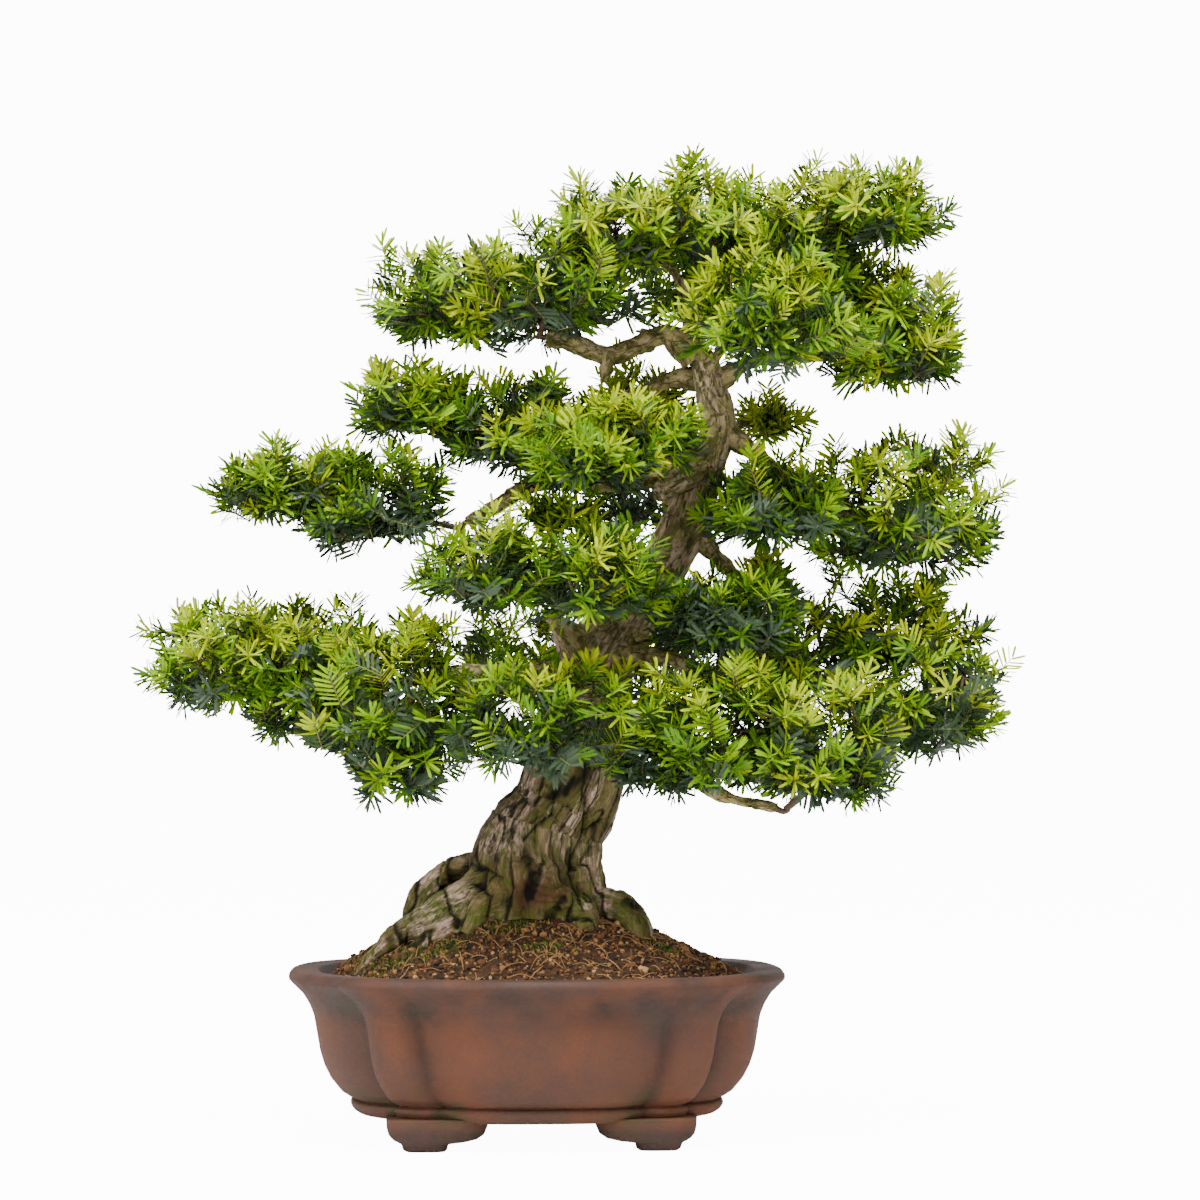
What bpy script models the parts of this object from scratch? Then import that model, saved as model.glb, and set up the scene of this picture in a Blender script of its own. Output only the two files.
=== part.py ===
"""A japanese yew bonsai in a lobed clay pot, as separate closed solids.

The frame is in metres with +Z up, +X to the plant's right as it is shown, and -Y to the front.
The origin lies on the ground under the middle of the plant's bounding box. Every length below is
written in millimetres and scaled by MM. Nodes: the pot, its soil, the trunk with its roots, one
tapering limb for each bough, and one solid for each mass of foliage.
"""

import math
import random
from dataclasses import dataclass

import bmesh
import bpy
from mathutils import Matrix, Vector

MM = 0.001
GAP = 0.3
WELD = 0.00001

# The pot: an eight-lobed oblong on four cloud feet, turned a little about the vertical
POT_CENTRE = Vector((-38.0, 0.0, 0.0))
POT_YAW = math.radians(3.6)
POT_SQUARENESS = 2.6
POT_GROOVE_ANGLES = (40.2, 61.4)
POT_GROOVE_DEPTH = 10.5
POT_GROOVE_POWER = 1.6

# Where the outline is read along a wide and along a narrow lobe, as shares of it
WIDE_LOBE_SHARES = (0.0, 0.07, 0.22, 0.5, 0.78, 0.93)
NARROW_LOBE_SHARES = (0.0, 0.2, 0.5, 0.8)

# Half width, height, depth over width, and share of the groove's depth, from the base to the rim
POT_OUTSIDE = (
    (144.0, 23.2, 0.79, 0.8),
    (153.0, 25.8, 0.79, 0.8),
    (157.5, 31.5, 0.79, 0.8),
    (152.0, 36.4, 0.79, 0.95),
    (157.5, 38.0, 0.79, 1.05),
    (174.5, 54.0, 0.79, 1.05),
    (183.6, 77.0, 0.79, 1.05),
    (187.5, 100.0, 0.79, 1.0),
    (192.5, 116.0, 0.795, 0.85),
    (205.0, 132.0, 0.81, 0.4),
    (209.7, 138.5, 0.81, 0.3),
    (203.0, 144.9, 0.81, 0.3),
)
POT_INSIDE = (
    (184.0, 144.0, 0.80, 0.3),
    (177.0, 133.0, 0.79, 0.4),
    (169.0, 92.0, 0.78, 0.6),
    (140.0, 40.0, 0.77, 0.6),
)

# Each foot's outline by height: near and far edge from the pot's middle, across and in depth
FOOT_LEVELS = (
    (0.0, (80.0, 112.0), (80.0, 105.0)),
    (6.5, (76.0, 116.5), (76.5, 110.0)),
    (8.5, (60.0, 121.0), (67.5, 112.0)),
    (13.5, (47.5, 126.5), (60.0, 114.0)),
    (25.0, (43.5, 128.5), (58.0, 115.0)),
)
FOOT_SIDES = 10
FOOT_POWER = 0.6

# The mound of soil: its height at the pot's wall and under the trunk, the oval that it fills, and
# how much higher its left flank lies than its right
SOIL_EDGE_HEIGHT = 134.0
SOIL_TOP_HEIGHT = 197.0
SOIL_HALF_WIDTH = 177.0
SOIL_HALF_DEPTH = 140.0
SOIL_BLUNTNESS = 0.85
SOIL_LEAN = 5.0
SOIL_RING_SHARES = (0.25, 0.65)
SOIL_SHRINK = GAP + 0.1

# The trunk's middle line: x, y, height, radius
TRUNK_STATIONS = tuple(Vector(station) for station in (
    (-40.0, 2.0, 185.0, 62.0),
    (-40.0, 2.0, 204.0, 59.0),
    (-40.0, 1.0, 232.0, 57.0),
    (-37.0, 0.0, 250.0, 49.0),
    (-21.0, -2.0, 272.0, 44.0),
    (-6.0, -2.0, 310.0, 43.5),
    (4.0, 0.0, 350.0, 38.0),
    (12.0, 4.0, 399.0, 33.0),
    (26.0, 6.0, 422.0, 30.0),
    (40.0, 8.0, 443.0, 26.0),
    (58.0, 8.0, 470.0, 22.5),
    (74.0, 8.0, 491.0, 21.0),
    (91.0, 6.0, 523.0, 21.0),
    (98.0, 2.0, 551.0, 18.0),
    (116.0, 0.0, 599.0, 15.5),
    (111.0, 0.0, 631.0, 15.0),
    (105.0, 0.0, 655.0, 13.0),
    (94.0, 0.0, 680.0, 8.0),
    (96.0, 2.0, 713.0, 5.5),
    (109.0, 5.0, 738.0, 4.8),
    (105.0, 8.0, 768.0, 3.4),
))
TRUNK_SIDES = 13
TRUNK_SPACING = 32.0
ROOT_SPACING = 30.0
ROOT_SIDES = 7
LIMB_SPACING = 36.0
LIMB_TAPER = 0.7
THICK_LIMB_RADIUS = 7.0
FLUTE_FADE_HEIGHT = 420.0
FLUTE_LEAST = 0.25
FLUTE_TWIST = 0.004

# The trunk's flutes: how many go round it, how deep they are, where they start and how they twist
FLUTES = ((2, 0.060, 0.6, 1.0), (3, 0.055, -1.1, -1.0), (5, 0.045, 2.0, 2.0))

# Roots: x, y, rise of the middle over the soil, radius
ROOTS = {
    "front_left": ((-62, -16, 30, 20), (-88, -24, 23, 17), (-108, -32, 16, 15), (-132, -42, 10, 13),
                   (-152, -46, 8, 12), (-168, -50, 4, 8), (-190, -56, -6, 5)),
    "arched_left": ((-72, 12, 30, 20), (-98, 12, 36, 15), (-118, 10, 35, 13.5), (-132, 8, 25, 12.5),
                    (-139, 4, 10, 12), (-143, 0, -8, 11)),
    "under_arch": ((-92, 24, 12, 15), (-120, 20, 8, 12), (-134, 12, 0, 9)),
    "low_left": ((-90, -46, 5, 9), (-122, -60, 1, 10), (-148, -68, -6, 6)),
    "front_low": ((-60, -28, 14, 20), (-84, -50, 9, 15), (-98, -66, -5, 9)),
    "front_right": ((-14, -26, 8, 20), (0, -44, 2, 16), (6, -56, -8, 10)),
    "curled_right": ((-10, -8, 8, 20), (14, -12, 7, 15.5), (32, -17, 12, 14), (43, -24, 7, 14.5),
                     (48, -32, -3, 13.5), (51, -37, -12, 10)),
    "back_left": ((-58, 32, 12, 20), (-80, 62, 4, 15), (-104, 90, -6, 8)),
    "back_right": ((-18, 34, 12, 19), (8, 62, 4, 14), (34, 88, -6, 8)),
}

# Other growths on the trunk: x, y, height, radius. They are the stub of a dead leader, the stump
# of a sawn bough, a pruned root's knob at the front and a fold on the right flank.
GROWTHS = {
    "dead_stub": ((6, -4, 398, 24), (-12, -8, 424, 15), (-29, -10, 441, 3)),
    "sawn_stump": ((102, -6, 568, 13), (84, -22, 557, 11), (66, -38, 547, 9.5)),
    "front_knob": ((-22, -26, 206, 13), (-16, -46, 205, 11), (-15, -58, 204, 8)),
    "right_ridge": ((-2, -10, 268, 8), (9, -12, 244, 11), (6, -12, 220, 11)),
}


@dataclass(frozen=True)
class Limb:
    """One bough: a tapering tube whose root is cut clear of the limb that carries it."""

    name: str
    carrier: str
    route: tuple
    root_radius: float
    tip_radius: float


@dataclass(frozen=True)
class Clump:
    """One lens-shaped pad of foliage: its middle, its half sizes and how many sprays it holds."""

    centre: tuple
    half: tuple
    sprays: int


@dataclass(frozen=True)
class Mass:
    """One mass of foliage, grown on from the tip of its limb through its clumps."""

    name: str
    limb: str
    seed: int
    clumps: tuple


LIMBS = (
    Limb("crown_left_bough", "trunk", ((96, 2, 711), (77, 4, 737), (58, 4, 750)), 5.0, 3.4),
    Limb("crown_right_bough", "trunk", ((98, 2, 718), (128, 4, 735), (152, 4, 744)), 5.5, 3.8),
    Limb("crown_back_bough", "trunk", ((97, 0, 690), (103, 40, 712), (112, 74, 730)), 5.0, 3.4),
    Limb("crown_front_bough", "trunk", ((107, 0, 650), (116, -30, 664), (130, -54, 674)), 6.0, 4.0),
    Limb("crown_far_right_bough", "trunk",
         ((109, 0, 636), (143, 4, 658), (186, 6, 664), (228, 4, 666)), 8.0, 4.4),
    Limb("left_upper_bough", "trunk",
         ((96, 0, 664), (73, -4, 681), (50, -8, 674), (22, -10, 664), (-6, -8, 674), (-30, -6, 678)),
         11.5, 7.5),
    Limb("left_second_bough", "trunk",
         ((106, 4, 642), (82, 12, 646), (50, 18, 634), (29, 18, 623), (-6, 14, 606), (-30, 10, 597)),
         9.5, 6.0),
    Limb("inner_left_bough", "trunk", ((108, 0, 583), (84, -42, 577), (66, -66, 574)), 7.0, 4.6),
    Limb("back_right_bough", "trunk", ((114, 2, 604), (128, 34, 606), (140, 56, 611)), 6.0, 3.6),
    Limb("left_middle_bough", "trunk",
         ((104, 4, 579), (76, -2, 566), (33, -18, 556), (-14, -20, 558), (-46, -14, 552),
          (-72, -8, 536), (-97, -6, 520)), 10.0, 7.0),
    Limb("right_upper_bough", "trunk",
         ((112, 0, 602), (138, -4, 587), (156, -6, 572), (180, -4, 552), (204, -2, 536)), 10.0, 6.0),
    Limb("back_middle_bough", "trunk", ((90, 4, 528), (76, 42, 542), (66, 66, 550)), 7.0, 4.4),
    Limb("right_lower_bough", "trunk",
         ((91, 4, 520), (118, 6, 489), (137, 8, 470), (166, 16, 458), (196, 24, 449)), 9.5, 5.2),
    Limb("centre_right_bough", "trunk", ((24, 4, 424), (58, -36, 421), (84, -54, 427)), 6.5, 4.2),
    Limb("centre_front_bough", "trunk",
         ((26, 2, 426), (12, -42, 444), (-4, -66, 452), (-24, -86, 456)), 7.0, 4.6),
    Limb("right_inner_bough", "trunk",
         ((20, 4, 402), (49, -40, 408), (79, -60, 404), (98, -76, 392)), 10.0, 6.0),
    Limb("right_outer_bough", "trunk",
         ((6, 0, 345), (44, -42, 334), (84, -64, 318), (102, -78, 300), (132, -86, 287),
          (163, -92, 282)), 8.0, 5.4),
    Limb("low_left_bough", "trunk",
         ((8, 2, 386), (-29, -8, 396), (-69, -12, 396), (-115, -14, 393), (-154, -14, 386),
          (-206, -12, 387)), 8.0, 4.8),
    Limb("low_left_front_bough", "low_left_bough",
         ((-98, -13, 395), (-116, -32, 385), (-134, -48, 377)), 5.5, 4.0),
    Limb("low_centre_bough", "trunk", ((0, 0, 352), (-8, -60, 365), (-12, -84, 371)), 7.0, 4.4),
    Limb("back_low_bough", "trunk", ((12, 4, 380), (18, 66, 398), (22, 92, 408)), 9.0, 5.6),
)

MASSES = (
    Mass("crown_left", "crown_left_bough", 11,
         (Clump((30, -15, 773), (54, 98, 48), 5), Clump((102, -2, 784), (54, 92, 42), 4))),
    Mass("crown_right", "crown_right_bough", 12,
         (Clump((184, 0, 767), (58, 104, 52), 6), Clump((250, -5, 790), (54, 84, 42), 5))),
    Mass("crown_back", "crown_back_bough", 13, (Clump((131, 132, 754), (100, 66, 56), 5),)),
    Mass("crown_front", "crown_front_bough", 14, (Clump((154, -100, 694), (80, 76, 50), 6),)),
    Mass("crown_far_right", "crown_far_right_bough", 15,
         (Clump((264, 0, 686), (60, 92, 54), 6), Clump((222, 6, 720), (50, 70, 42), 3))),
    Mass("left_upper", "left_upper_bough", 16,
         (Clump((-28, -16, 728), (80, 104, 58), 6), Clump((-118, 0, 716), (62, 90, 49), 5))),
    Mass("left_second", "left_second_bough", 17,
         (Clump((-58, 4, 609), (68, 84, 47), 5), Clump((-143, 8, 626), (54, 78, 33), 5))),
    Mass("inner_left", "inner_left_bough", 18,
         (Clump((6, -120, 578), (64, 62, 42), 6), Clump((62, -92, 594), (36, 54, 26), 3))),
    Mass("back_right", "back_right_bough", 19, (Clump((160, 84, 618), (24, 38, 26), 2),)),
    Mass("left_middle", "left_middle_bough", 20,
         (Clump((-176, 0, 544), (68, 90, 48), 5), Clump((-254, -8, 554), (62, 72, 31), 5))),
    Mass("right_upper", "right_upper_bough", 21,
         (Clump((160, -52, 538), (66, 74, 42), 5), Clump((274, 4, 540), (90, 102, 70), 7))),
    Mass("back_middle", "back_middle_bough", 22,
         (Clump((62, 134, 560), (70, 68, 62), 3), Clump((50, 84, 634), (50, 46, 34), 3))),
    Mass("right_lower", "right_lower_bough", 23,
         (Clump((268, 50, 436), (70, 96, 50), 4), Clump((300, 20, 377), (64, 106, 60), 6),
          Clump((192, 20, 414), (54, 84, 44), 3), Clump((162, 60, 481), (24, 36, 27), 2))),
    Mass("centre_right", "centre_right_bough", 24, (Clump((116, -92, 442), (64, 64, 37), 6),)),
    Mass("centre_front", "centre_front_bough", 25,
         (Clump((14, -145, 474), (60, 62, 43), 5), Clump((-72, -138, 482), (58, 68, 41), 4),
          Clump((-22, -96, 528), (28, 36, 26), 2))),
    Mass("right_inner", "right_inner_bough", 26,
         (Clump((118, -124, 348), (68, 72, 60), 6), Clump((62, -112, 331), (46, 48, 44), 3))),
    Mass("right_outer", "right_outer_bough", 27, (Clump((198, -108, 343), (68, 80, 68), 6),)),
    Mass("low_left_outer", "low_left_bough", 28,
         (Clump((-291, -5, 412), (78, 104, 53), 6), Clump((-224, -4, 397), (74, 92, 66), 5))),
    Mass("low_left_inner", "low_left_front_bough", 29,
         (Clump((-163, -78, 383), (82, 92, 77), 6), Clump((-151, -92, 326), (49, 64, 39), 3))),
    Mass("low_centre", "low_centre_bough", 30, (Clump((-35, -144, 361), (88, 62, 54), 5),)),
    Mass("back_low", "back_low_bough", 31,
         (Clump((90, 137, 414), (92, 66, 66), 4), Clump((-52, 137, 410), (74, 66, 56), 3))),
)

# The growth rule: twigs leave the nearest fork and end in sprays on the clump's lens, whose rim is
# lobed. A lobe row holds how many go round, how deep they are, and shares of phase and height. The
# lens is fuller than an ellipsoid: its power is over 2.
GOLDEN_TURN = math.pi * (3.0 - math.sqrt(5.0))
UNDERSIDE_SHARE = 0.55
RIM_LOBES = ((3, 0.08, 1.0, 0.0), (5, 0.06, 2.0, 3.0))
RIM_PHASE = 0.13
LENS_POWER = 2.6
HUB_DROP = 0.12
PATH_WEIGHT = 0.3
FORK_SHARES = (0.45, 0.72, 1.0)
ELBOW_SHARE = 0.6
STEM_RUN = 9.0
STEM_BACK = 2.5
RUN_ROOT_SHARE = 1.4
RUN_TIP_SHARE = 1.1
TWIG_ROOT_RADIUS = 2.1
TWIG_TIP_RADIUS = 1.1
TWIG_SINK = 5.0
SHORTEST_TWIG = 9.0
CLEARANCE = 1.2
TRIES_PER_SPRAY = 9
NUDGE = 0.25

# The ways to a clump's sprays: how high the first is, how far they fall to the last, the steepest
# one kept, and how much each is moved up or down and turned by chance
FIRST_WAY = 0.9
WAY_FALL = 1.7
STEEPEST_WAY = 0.98
WAY_JITTER = 0.08
TURN_JITTER = 0.25

# A mass's stem: its two radii as shares of its limb's tip, and where its space starts
STEM_ROOT_SHARE = 0.95
STEM_TIP_SHARE = 0.8
STEM_SPACE_START = 2.0

# A spray is a flat blade: its spine starts and runs over shares of its length, and its core,
# teeth and their forward lean are shares of its half width
SPRAY_LENGTH = 88.0
SPRAY_REACH_SHARE = 0.78
SPRAY_SHRINK = 0.04
SPRAY_HALF_WIDTH = 40.0
SPRAY_SLIMNESS = 0.62
SPRAY_THICKNESS = 3.0
SPRAY_TEETH = 2
SPINE_START = 0.12
SPINE_RUN = 0.5
SPRAY_CORE = 0.14
SPRAY_END_CORE = 0.75
TOOTH_LEAST = 0.72
TOOTH_LEAN = 0.62
SPRAY_ROLL = 1.1
SPRAY_SIZES = (0.9, 1.1)
SPRAY_LIFT = 0.2
UPRIGHT_FROM = 0.93
UPRIGHT_GUIDE = Vector((1.0, 0.3, 0.0))

CLAY_COLOUR = (0.20, 0.085, 0.05)
SOIL_COLOUR = (0.075, 0.042, 0.026)
BARK_COLOUR = (0.13, 0.10, 0.065)
LEAF_COLOUR = (0.15, 0.24, 0.03)


def clear_scene():
    """Remove every object that the scene holds."""
    for item in list(bpy.data.objects):
        bpy.data.objects.remove(item, do_unlink=True)


def make_collection(name):
    """Make a collection under the scene's own."""
    collection = bpy.data.collections.new(name)
    bpy.context.scene.collection.children.link(collection)
    return collection


def make_material(name, colour, roughness):
    """Make a Principled material of one colour."""
    material = bpy.data.materials.new(name)
    material.use_nodes = True
    shader = material.node_tree.nodes["Principled BSDF"]
    shader.inputs["Base Color"].default_value = (*colour, 1.0)
    shader.inputs["Roughness"].default_value = roughness
    shader.inputs["Metallic"].default_value = 0.0
    return material


def mesh_object(name, bm, collection):
    """Turn a bmesh drawn in millimetres into an object in metres."""
    bmesh.ops.scale(bm, vec=(MM, MM, MM), verts=bm.verts)
    bmesh.ops.recalc_face_normals(bm, faces=bm.faces)
    mesh = bpy.data.meshes.new(name)
    bm.to_mesh(mesh)
    bm.free()
    item = bpy.data.objects.new(name, mesh)
    collection.objects.link(item)
    return item


def mark_cutter(item):
    """Show a cutter as wire only."""
    item.hide_render = True
    item.display_type = "WIRE"


def join_rings(bm, rings):
    """Skin a bmesh over rings of as many points each, with both ends capped."""
    rows = [[bm.verts.new(point) for point in ring] for ring in rings]
    count = len(rows[0])
    for low, high in zip(rows, rows[1:]):
        for i in range(count):
            j = (i + 1) % count
            bm.faces.new((low[i], low[j], high[j], high[i]))
    bm.faces.new(rows[0][::-1])
    bm.faces.new(rows[-1])


def loft(name, rings, collection):
    """Make a closed solid through a list of rings."""
    bm = bmesh.new()
    join_rings(bm, rings)
    return mesh_object(name, bm, collection)


def smooth_route(points, spacing):
    """Read a Catmull-Rom curve through the points, about one reading per spacing."""
    knots = [Vector(point) for point in points]
    knots = [knots[0] * 2 - knots[1]] + knots + [knots[-1] * 2 - knots[-2]]
    route = []
    for a, b, c, d in zip(knots, knots[1:], knots[2:], knots[3:]):
        steps = max(1, round((c - b).length / spacing))
        for step in range(steps):
            t = step / steps
            route.append(0.5 * (2 * b + (c - a) * t + (2 * a - 5 * b + 4 * c - d) * t**2
                                + (3 * b - 3 * c + d - a) * t**3))
    route.append(knots[-2])
    return route


def frames_along(points):
    """Return a side and an up vector at each point, square to the way on, turned as little as can be."""
    side = Vector((0.0, -1.0, 0.0))
    frames = []
    for i in range(len(points)):
        ahead = points[min(i + 1, len(points) - 1)]
        behind = points[max(i - 1, 0)]
        tangent = (ahead - behind).normalized()
        side = (side - tangent * side.dot(tangent)).normalized()
        frames.append((side, tangent.cross(side)))
    return frames


def apply_boolean(item, operation, cutters):
    """Cut, or join, an object by all objects of a collection, by the first solver that closes it."""
    modifier = item.modifiers.new("shape", "BOOLEAN")
    modifier.operation = operation
    modifier.operand_type = "COLLECTION"
    modifier.collection = cutters
    for solver in ("EXACT", "MANIFOLD"):
        modifier.solver = solver
        graph = bpy.context.evaluated_depsgraph_get()
        mesh = bpy.data.meshes.new_from_object(item.evaluated_get(graph))
        if keep_largest_body(mesh):
            break
    item.modifiers.clear()
    item.data = mesh
    for cutter in list(cutters.objects):
        bpy.data.objects.remove(cutter, do_unlink=True)
    bpy.data.collections.remove(cutters)


def connected_bodies(bm):
    """Return the bodies of a mesh as lists of faces that share edges."""
    unseen = set(bm.faces)
    bodies = []
    while unseen:
        body = [unseen.pop()]
        for face in body:
            for edge in face.edges:
                for other in edge.link_faces:
                    if other in unseen and len(edge.link_faces) == 2:
                        unseen.remove(other)
                        body.append(other)
        bodies.append(body)
    return sorted(bodies, key=len)


def keep_largest_body(mesh):
    """Weld a mesh, drop its loose scraps and tell whether one closed body is left."""
    bm = bmesh.new()
    bm.from_mesh(mesh)
    bmesh.ops.triangulate(bm, faces=bm.faces)
    bmesh.ops.remove_doubles(bm, verts=bm.verts, dist=WELD)
    bmesh.ops.dissolve_degenerate(bm, edges=bm.edges, dist=WELD)
    bmesh.ops.triangulate(bm, faces=bm.faces)
    scraps = [face for body in connected_bodies(bm)[:-1] for face in body]
    bmesh.ops.delete(bm, geom=scraps, context="FACES")
    closed = all(len(edge.link_faces) == 2 for edge in bm.edges)
    bm.to_mesh(mesh)
    bm.free()
    return closed


def pot_lobes():
    """Return the outline's angles with the share of the groove's depth at each, once round."""
    inner, outer = POT_GROOVE_ANGLES
    bounds = (-inner, inner, outer, 180 - outer, 180 - inner, 180 + inner, 180 + outer,
              360 - outer, 360 - inner)
    stations = []
    for i, (start, end) in enumerate(zip(bounds, bounds[1:])):
        for share in (NARROW_LOBE_SHARES if i % 2 else WIDE_LOBE_SHARES):
            angle = math.radians(start + (end - start) * share)
            stations.append((angle, (1.0 - math.sin(math.pi * share)) ** POT_GROOVE_POWER))
    return stations


def pot_ring(half_width, height, depth_ratio, groove, shrink=0.0):
    """Return the lobed outline of one level, drawn in by shrink."""
    ring = []
    power = 2.0 / POT_SQUARENESS
    for angle, share in pot_lobes():
        cosine, sine = math.cos(angle), math.sin(angle)
        x = math.copysign(abs(cosine) ** power, cosine) * half_width
        y = math.copysign(abs(sine) ** power, sine) * half_width * depth_ratio
        reach = math.hypot(x, y)
        scale = (reach - POT_GROOVE_DEPTH * groove * share - shrink) / reach
        ring.append(Vector((x * scale, y * scale, height)))
    return ring


def place_pot(item):
    """Stand an object drawn about the pot's middle where the pot stands."""
    turn = Matrix.Translation(POT_CENTRE * MM) @ Matrix.Rotation(POT_YAW, 4, "Z")
    item.data.transform(turn)


def foot_ring(level, side_x, side_y):
    """Return one level of a cloud foot as a rounded rectangle."""
    height, across, depth = level
    ring = []
    for i in range(FOOT_SIDES):
        angle = 2.0 * math.pi * (i + 0.5) / FOOT_SIDES
        cosine, sine = math.cos(angle), math.sin(angle)
        along = 0.5 * (1.0 + math.copysign(abs(cosine) ** FOOT_POWER, cosine))
        deep = 0.5 * (1.0 + math.copysign(abs(sine) ** FOOT_POWER, sine))
        x = across[0] + (across[1] - across[0]) * along
        y = depth[0] + (depth[1] - depth[0]) * deep
        ring.append(Vector((x * side_x, y * side_y, height)))
    return ring


def make_pot(collection):
    """Make the hollow pot with its lip and its four feet."""
    rings = [pot_ring(*level) for level in POT_OUTSIDE + POT_INSIDE]
    pot = loft("pot", rings, collection)
    feet = make_collection("pot feet")
    for side_x in (-1, 1):
        for side_y in (-1, 1):
            loft("foot", [foot_ring(level, side_x, side_y) for level in FOOT_LEVELS], feet)
    apply_boolean(pot, "UNION", feet)
    place_pot(pot)
    return pot


def soil_height(x, y):
    """Return the soil's height at a place on the mound."""
    across = (x - POT_CENTRE.x) / SOIL_HALF_WIDTH
    share = max(0.0, 1.0 - math.hypot(across, (y - POT_CENTRE.y) / SOIL_HALF_DEPTH))
    rise = (SOIL_TOP_HEIGHT - SOIL_EDGE_HEIGHT) * math.sin(share * math.pi / 2) ** SOIL_BLUNTNESS
    return SOIL_EDGE_HEIGHT + rise - SOIL_LEAN * across * math.sin(share * math.pi)


def make_soil(collection, cutters):
    """Make the soil that fills the pot and rises in a mound, cut clear of the trunk and roots."""
    rings = [pot_ring(*level, shrink=SOIL_SHRINK) for level in POT_INSIDE[:0:-1]]
    rings[0] = [point + Vector((0.0, 0.0, GAP)) for point in rings[0]]
    edge = rings[-1]
    for share in SOIL_RING_SHARES:
        ring = []
        for point in edge:
            x, y = point.x * (1.0 - share), point.y * (1.0 - share)
            ring.append(Vector((x, y, soil_height(x + POT_CENTRE.x, y + POT_CENTRE.y))))
        rings.append(ring)
    soil = loft("soil", rings, collection)
    place_pot(soil)
    apply_boolean(soil, "DIFFERENCE", cutters)
    return soil


def flute(angle, height):
    """Return the trunk's swelling and fluting as a factor on its radius."""
    fade = (FLUTE_FADE_HEIGHT - height) / (FLUTE_FADE_HEIGHT - SOIL_TOP_HEIGHT)
    fade = min(1.0, max(FLUTE_LEAST, fade))
    twist = height * FLUTE_TWIST
    wave = sum(depth * math.cos(count * angle + start + turns * twist)
               for count, depth, start, turns in FLUTES)
    return 1.0 + fade * wave


def trunk_rings(grow):
    """Return the trunk's rings, each grown outwards by grow."""
    route = smooth_route(TRUNK_STATIONS, TRUNK_SPACING)
    points = [Vector(place[:3]) for place in route]
    frames = frames_along(points)
    frames[0] = (Vector((0.0, -1.0, 0.0)), Vector((1.0, 0.0, 0.0)))
    rings = []
    for point, place, (side, up) in zip(points, route, frames):
        ring = []
        for i in range(TRUNK_SIDES):
            angle = 2.0 * math.pi * i / TRUNK_SIDES
            radius = place[3] * flute(angle, point.z) + grow
            ring.append(point + (side * math.cos(angle) + up * math.sin(angle)) * radius)
        rings.append(ring)
    return rings


def tube_rings(route, sides, grow=0.0):
    """Return round rings along a route of (x, y, z, radius)."""
    places = smooth_route([Vector(place) for place in route], ROOT_SPACING)
    points = [Vector(place[:3]) for place in places]
    rings = []
    for point, place, (side, up) in zip(points, places, frames_along(points)):
        radius = place[3] + grow
        ring = []
        for i in range(sides):
            angle = 2.0 * math.pi * i / sides
            ring.append(point + (side * math.cos(angle) + up * math.sin(angle)) * radius)
        rings.append(ring)
    return rings


def make_trunk_with_roots(collection, grow=0.0):
    """Make the trunk from its flat foot to its tip, with its roots and its dead stub fused on."""
    trunk = loft("trunk", trunk_rings(grow), collection)
    growths = make_collection("roots and stub")
    routes = list(GROWTHS.values())
    for root in ROOTS.values():
        routes.append([(x, y, soil_height(x, y) + rise, radius) for x, y, rise, radius in root])
    for route in routes:
        loft("growth", tube_rings(route, ROOT_SIDES, grow), growths)
    apply_boolean(trunk, "UNION", growths)
    return trunk


def limb_stations(limb):
    """Return a limb's smooth middle line as (point, radius) pairs."""
    points = smooth_route(limb.route, LIMB_SPACING)
    count = len(points) - 1
    stations = []
    for i, point in enumerate(points):
        share = i / count
        stations.append((point, limb.root_radius + (limb.tip_radius - limb.root_radius) * share**LIMB_TAPER))
    return stations


def make_limb(limb, collection, grow=0.0):
    """Make one tapering limb as a bevelled curve and turn it into a mesh."""
    curve = bpy.data.curves.new(limb.name, "CURVE")
    curve.dimensions = "3D"
    curve.bevel_depth = 1.0
    curve.bevel_resolution = 2 if limb.root_radius > THICK_LIMB_RADIUS else 1
    curve.use_fill_caps = True
    stations = limb_stations(limb)
    spline = curve.splines.new("POLY")
    spline.points.add(len(stations) - 1)
    for place, (point, radius) in zip(spline.points, stations):
        place.co = (*(point * MM), 1.0)
        place.radius = (radius + grow) * MM
    drawn = bpy.data.objects.new(limb.name + "_curve", curve)
    collection.objects.link(drawn)
    graph = bpy.context.evaluated_depsgraph_get()
    mesh = bpy.data.meshes.new_from_object(drawn.evaluated_get(graph))
    bpy.data.objects.remove(drawn, do_unlink=True)
    bm = bmesh.new()
    bm.from_mesh(mesh)
    bmesh.ops.remove_doubles(bm, verts=bm.verts, dist=WELD)
    bmesh.ops.recalc_face_normals(bm, faces=bm.faces)
    bm.to_mesh(mesh)
    bm.free()
    item = bpy.data.objects.new(limb.name, mesh)
    collection.objects.link(item)
    return item


def make_boughs(collection):
    """Make every limb, its root cut clear of its carrier."""
    by_name = {limb.name: limb for limb in LIMBS}
    boughs = []
    for limb in LIMBS:
        bough = make_limb(limb, collection)
        cutters = make_collection("cutters of " + limb.name)
        if limb.carrier == "trunk":
            cutter = make_trunk_with_roots(cutters, GAP)
        else:
            cutter = make_limb(by_name[limb.carrier], cutters, GAP)
        mark_cutter(cutter)
        apply_boolean(bough, "DIFFERENCE", cutters)
        boughs.append(bough)
    return boughs


class Space:
    """The capsules that solid wood and sprays take up, so that new growth keeps clear of them."""

    def __init__(self):
        self.capsules = []

    def add(self, start, end, radius, owner):
        """Take up the space round one straight piece."""
        self.capsules.append((start, end, radius, owner))

    def is_clear(self, start, end, radius, owner=None):
        """Tell whether a straight piece keeps its clearance from every other owner's pieces."""
        for other_start, other_end, other_radius, other_owner in self.capsules:
            if other_owner == owner:
                continue
            least = radius + other_radius + CLEARANCE
            if segment_distance(start, end, other_start, other_end) < least:
                return False
        return True


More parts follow.
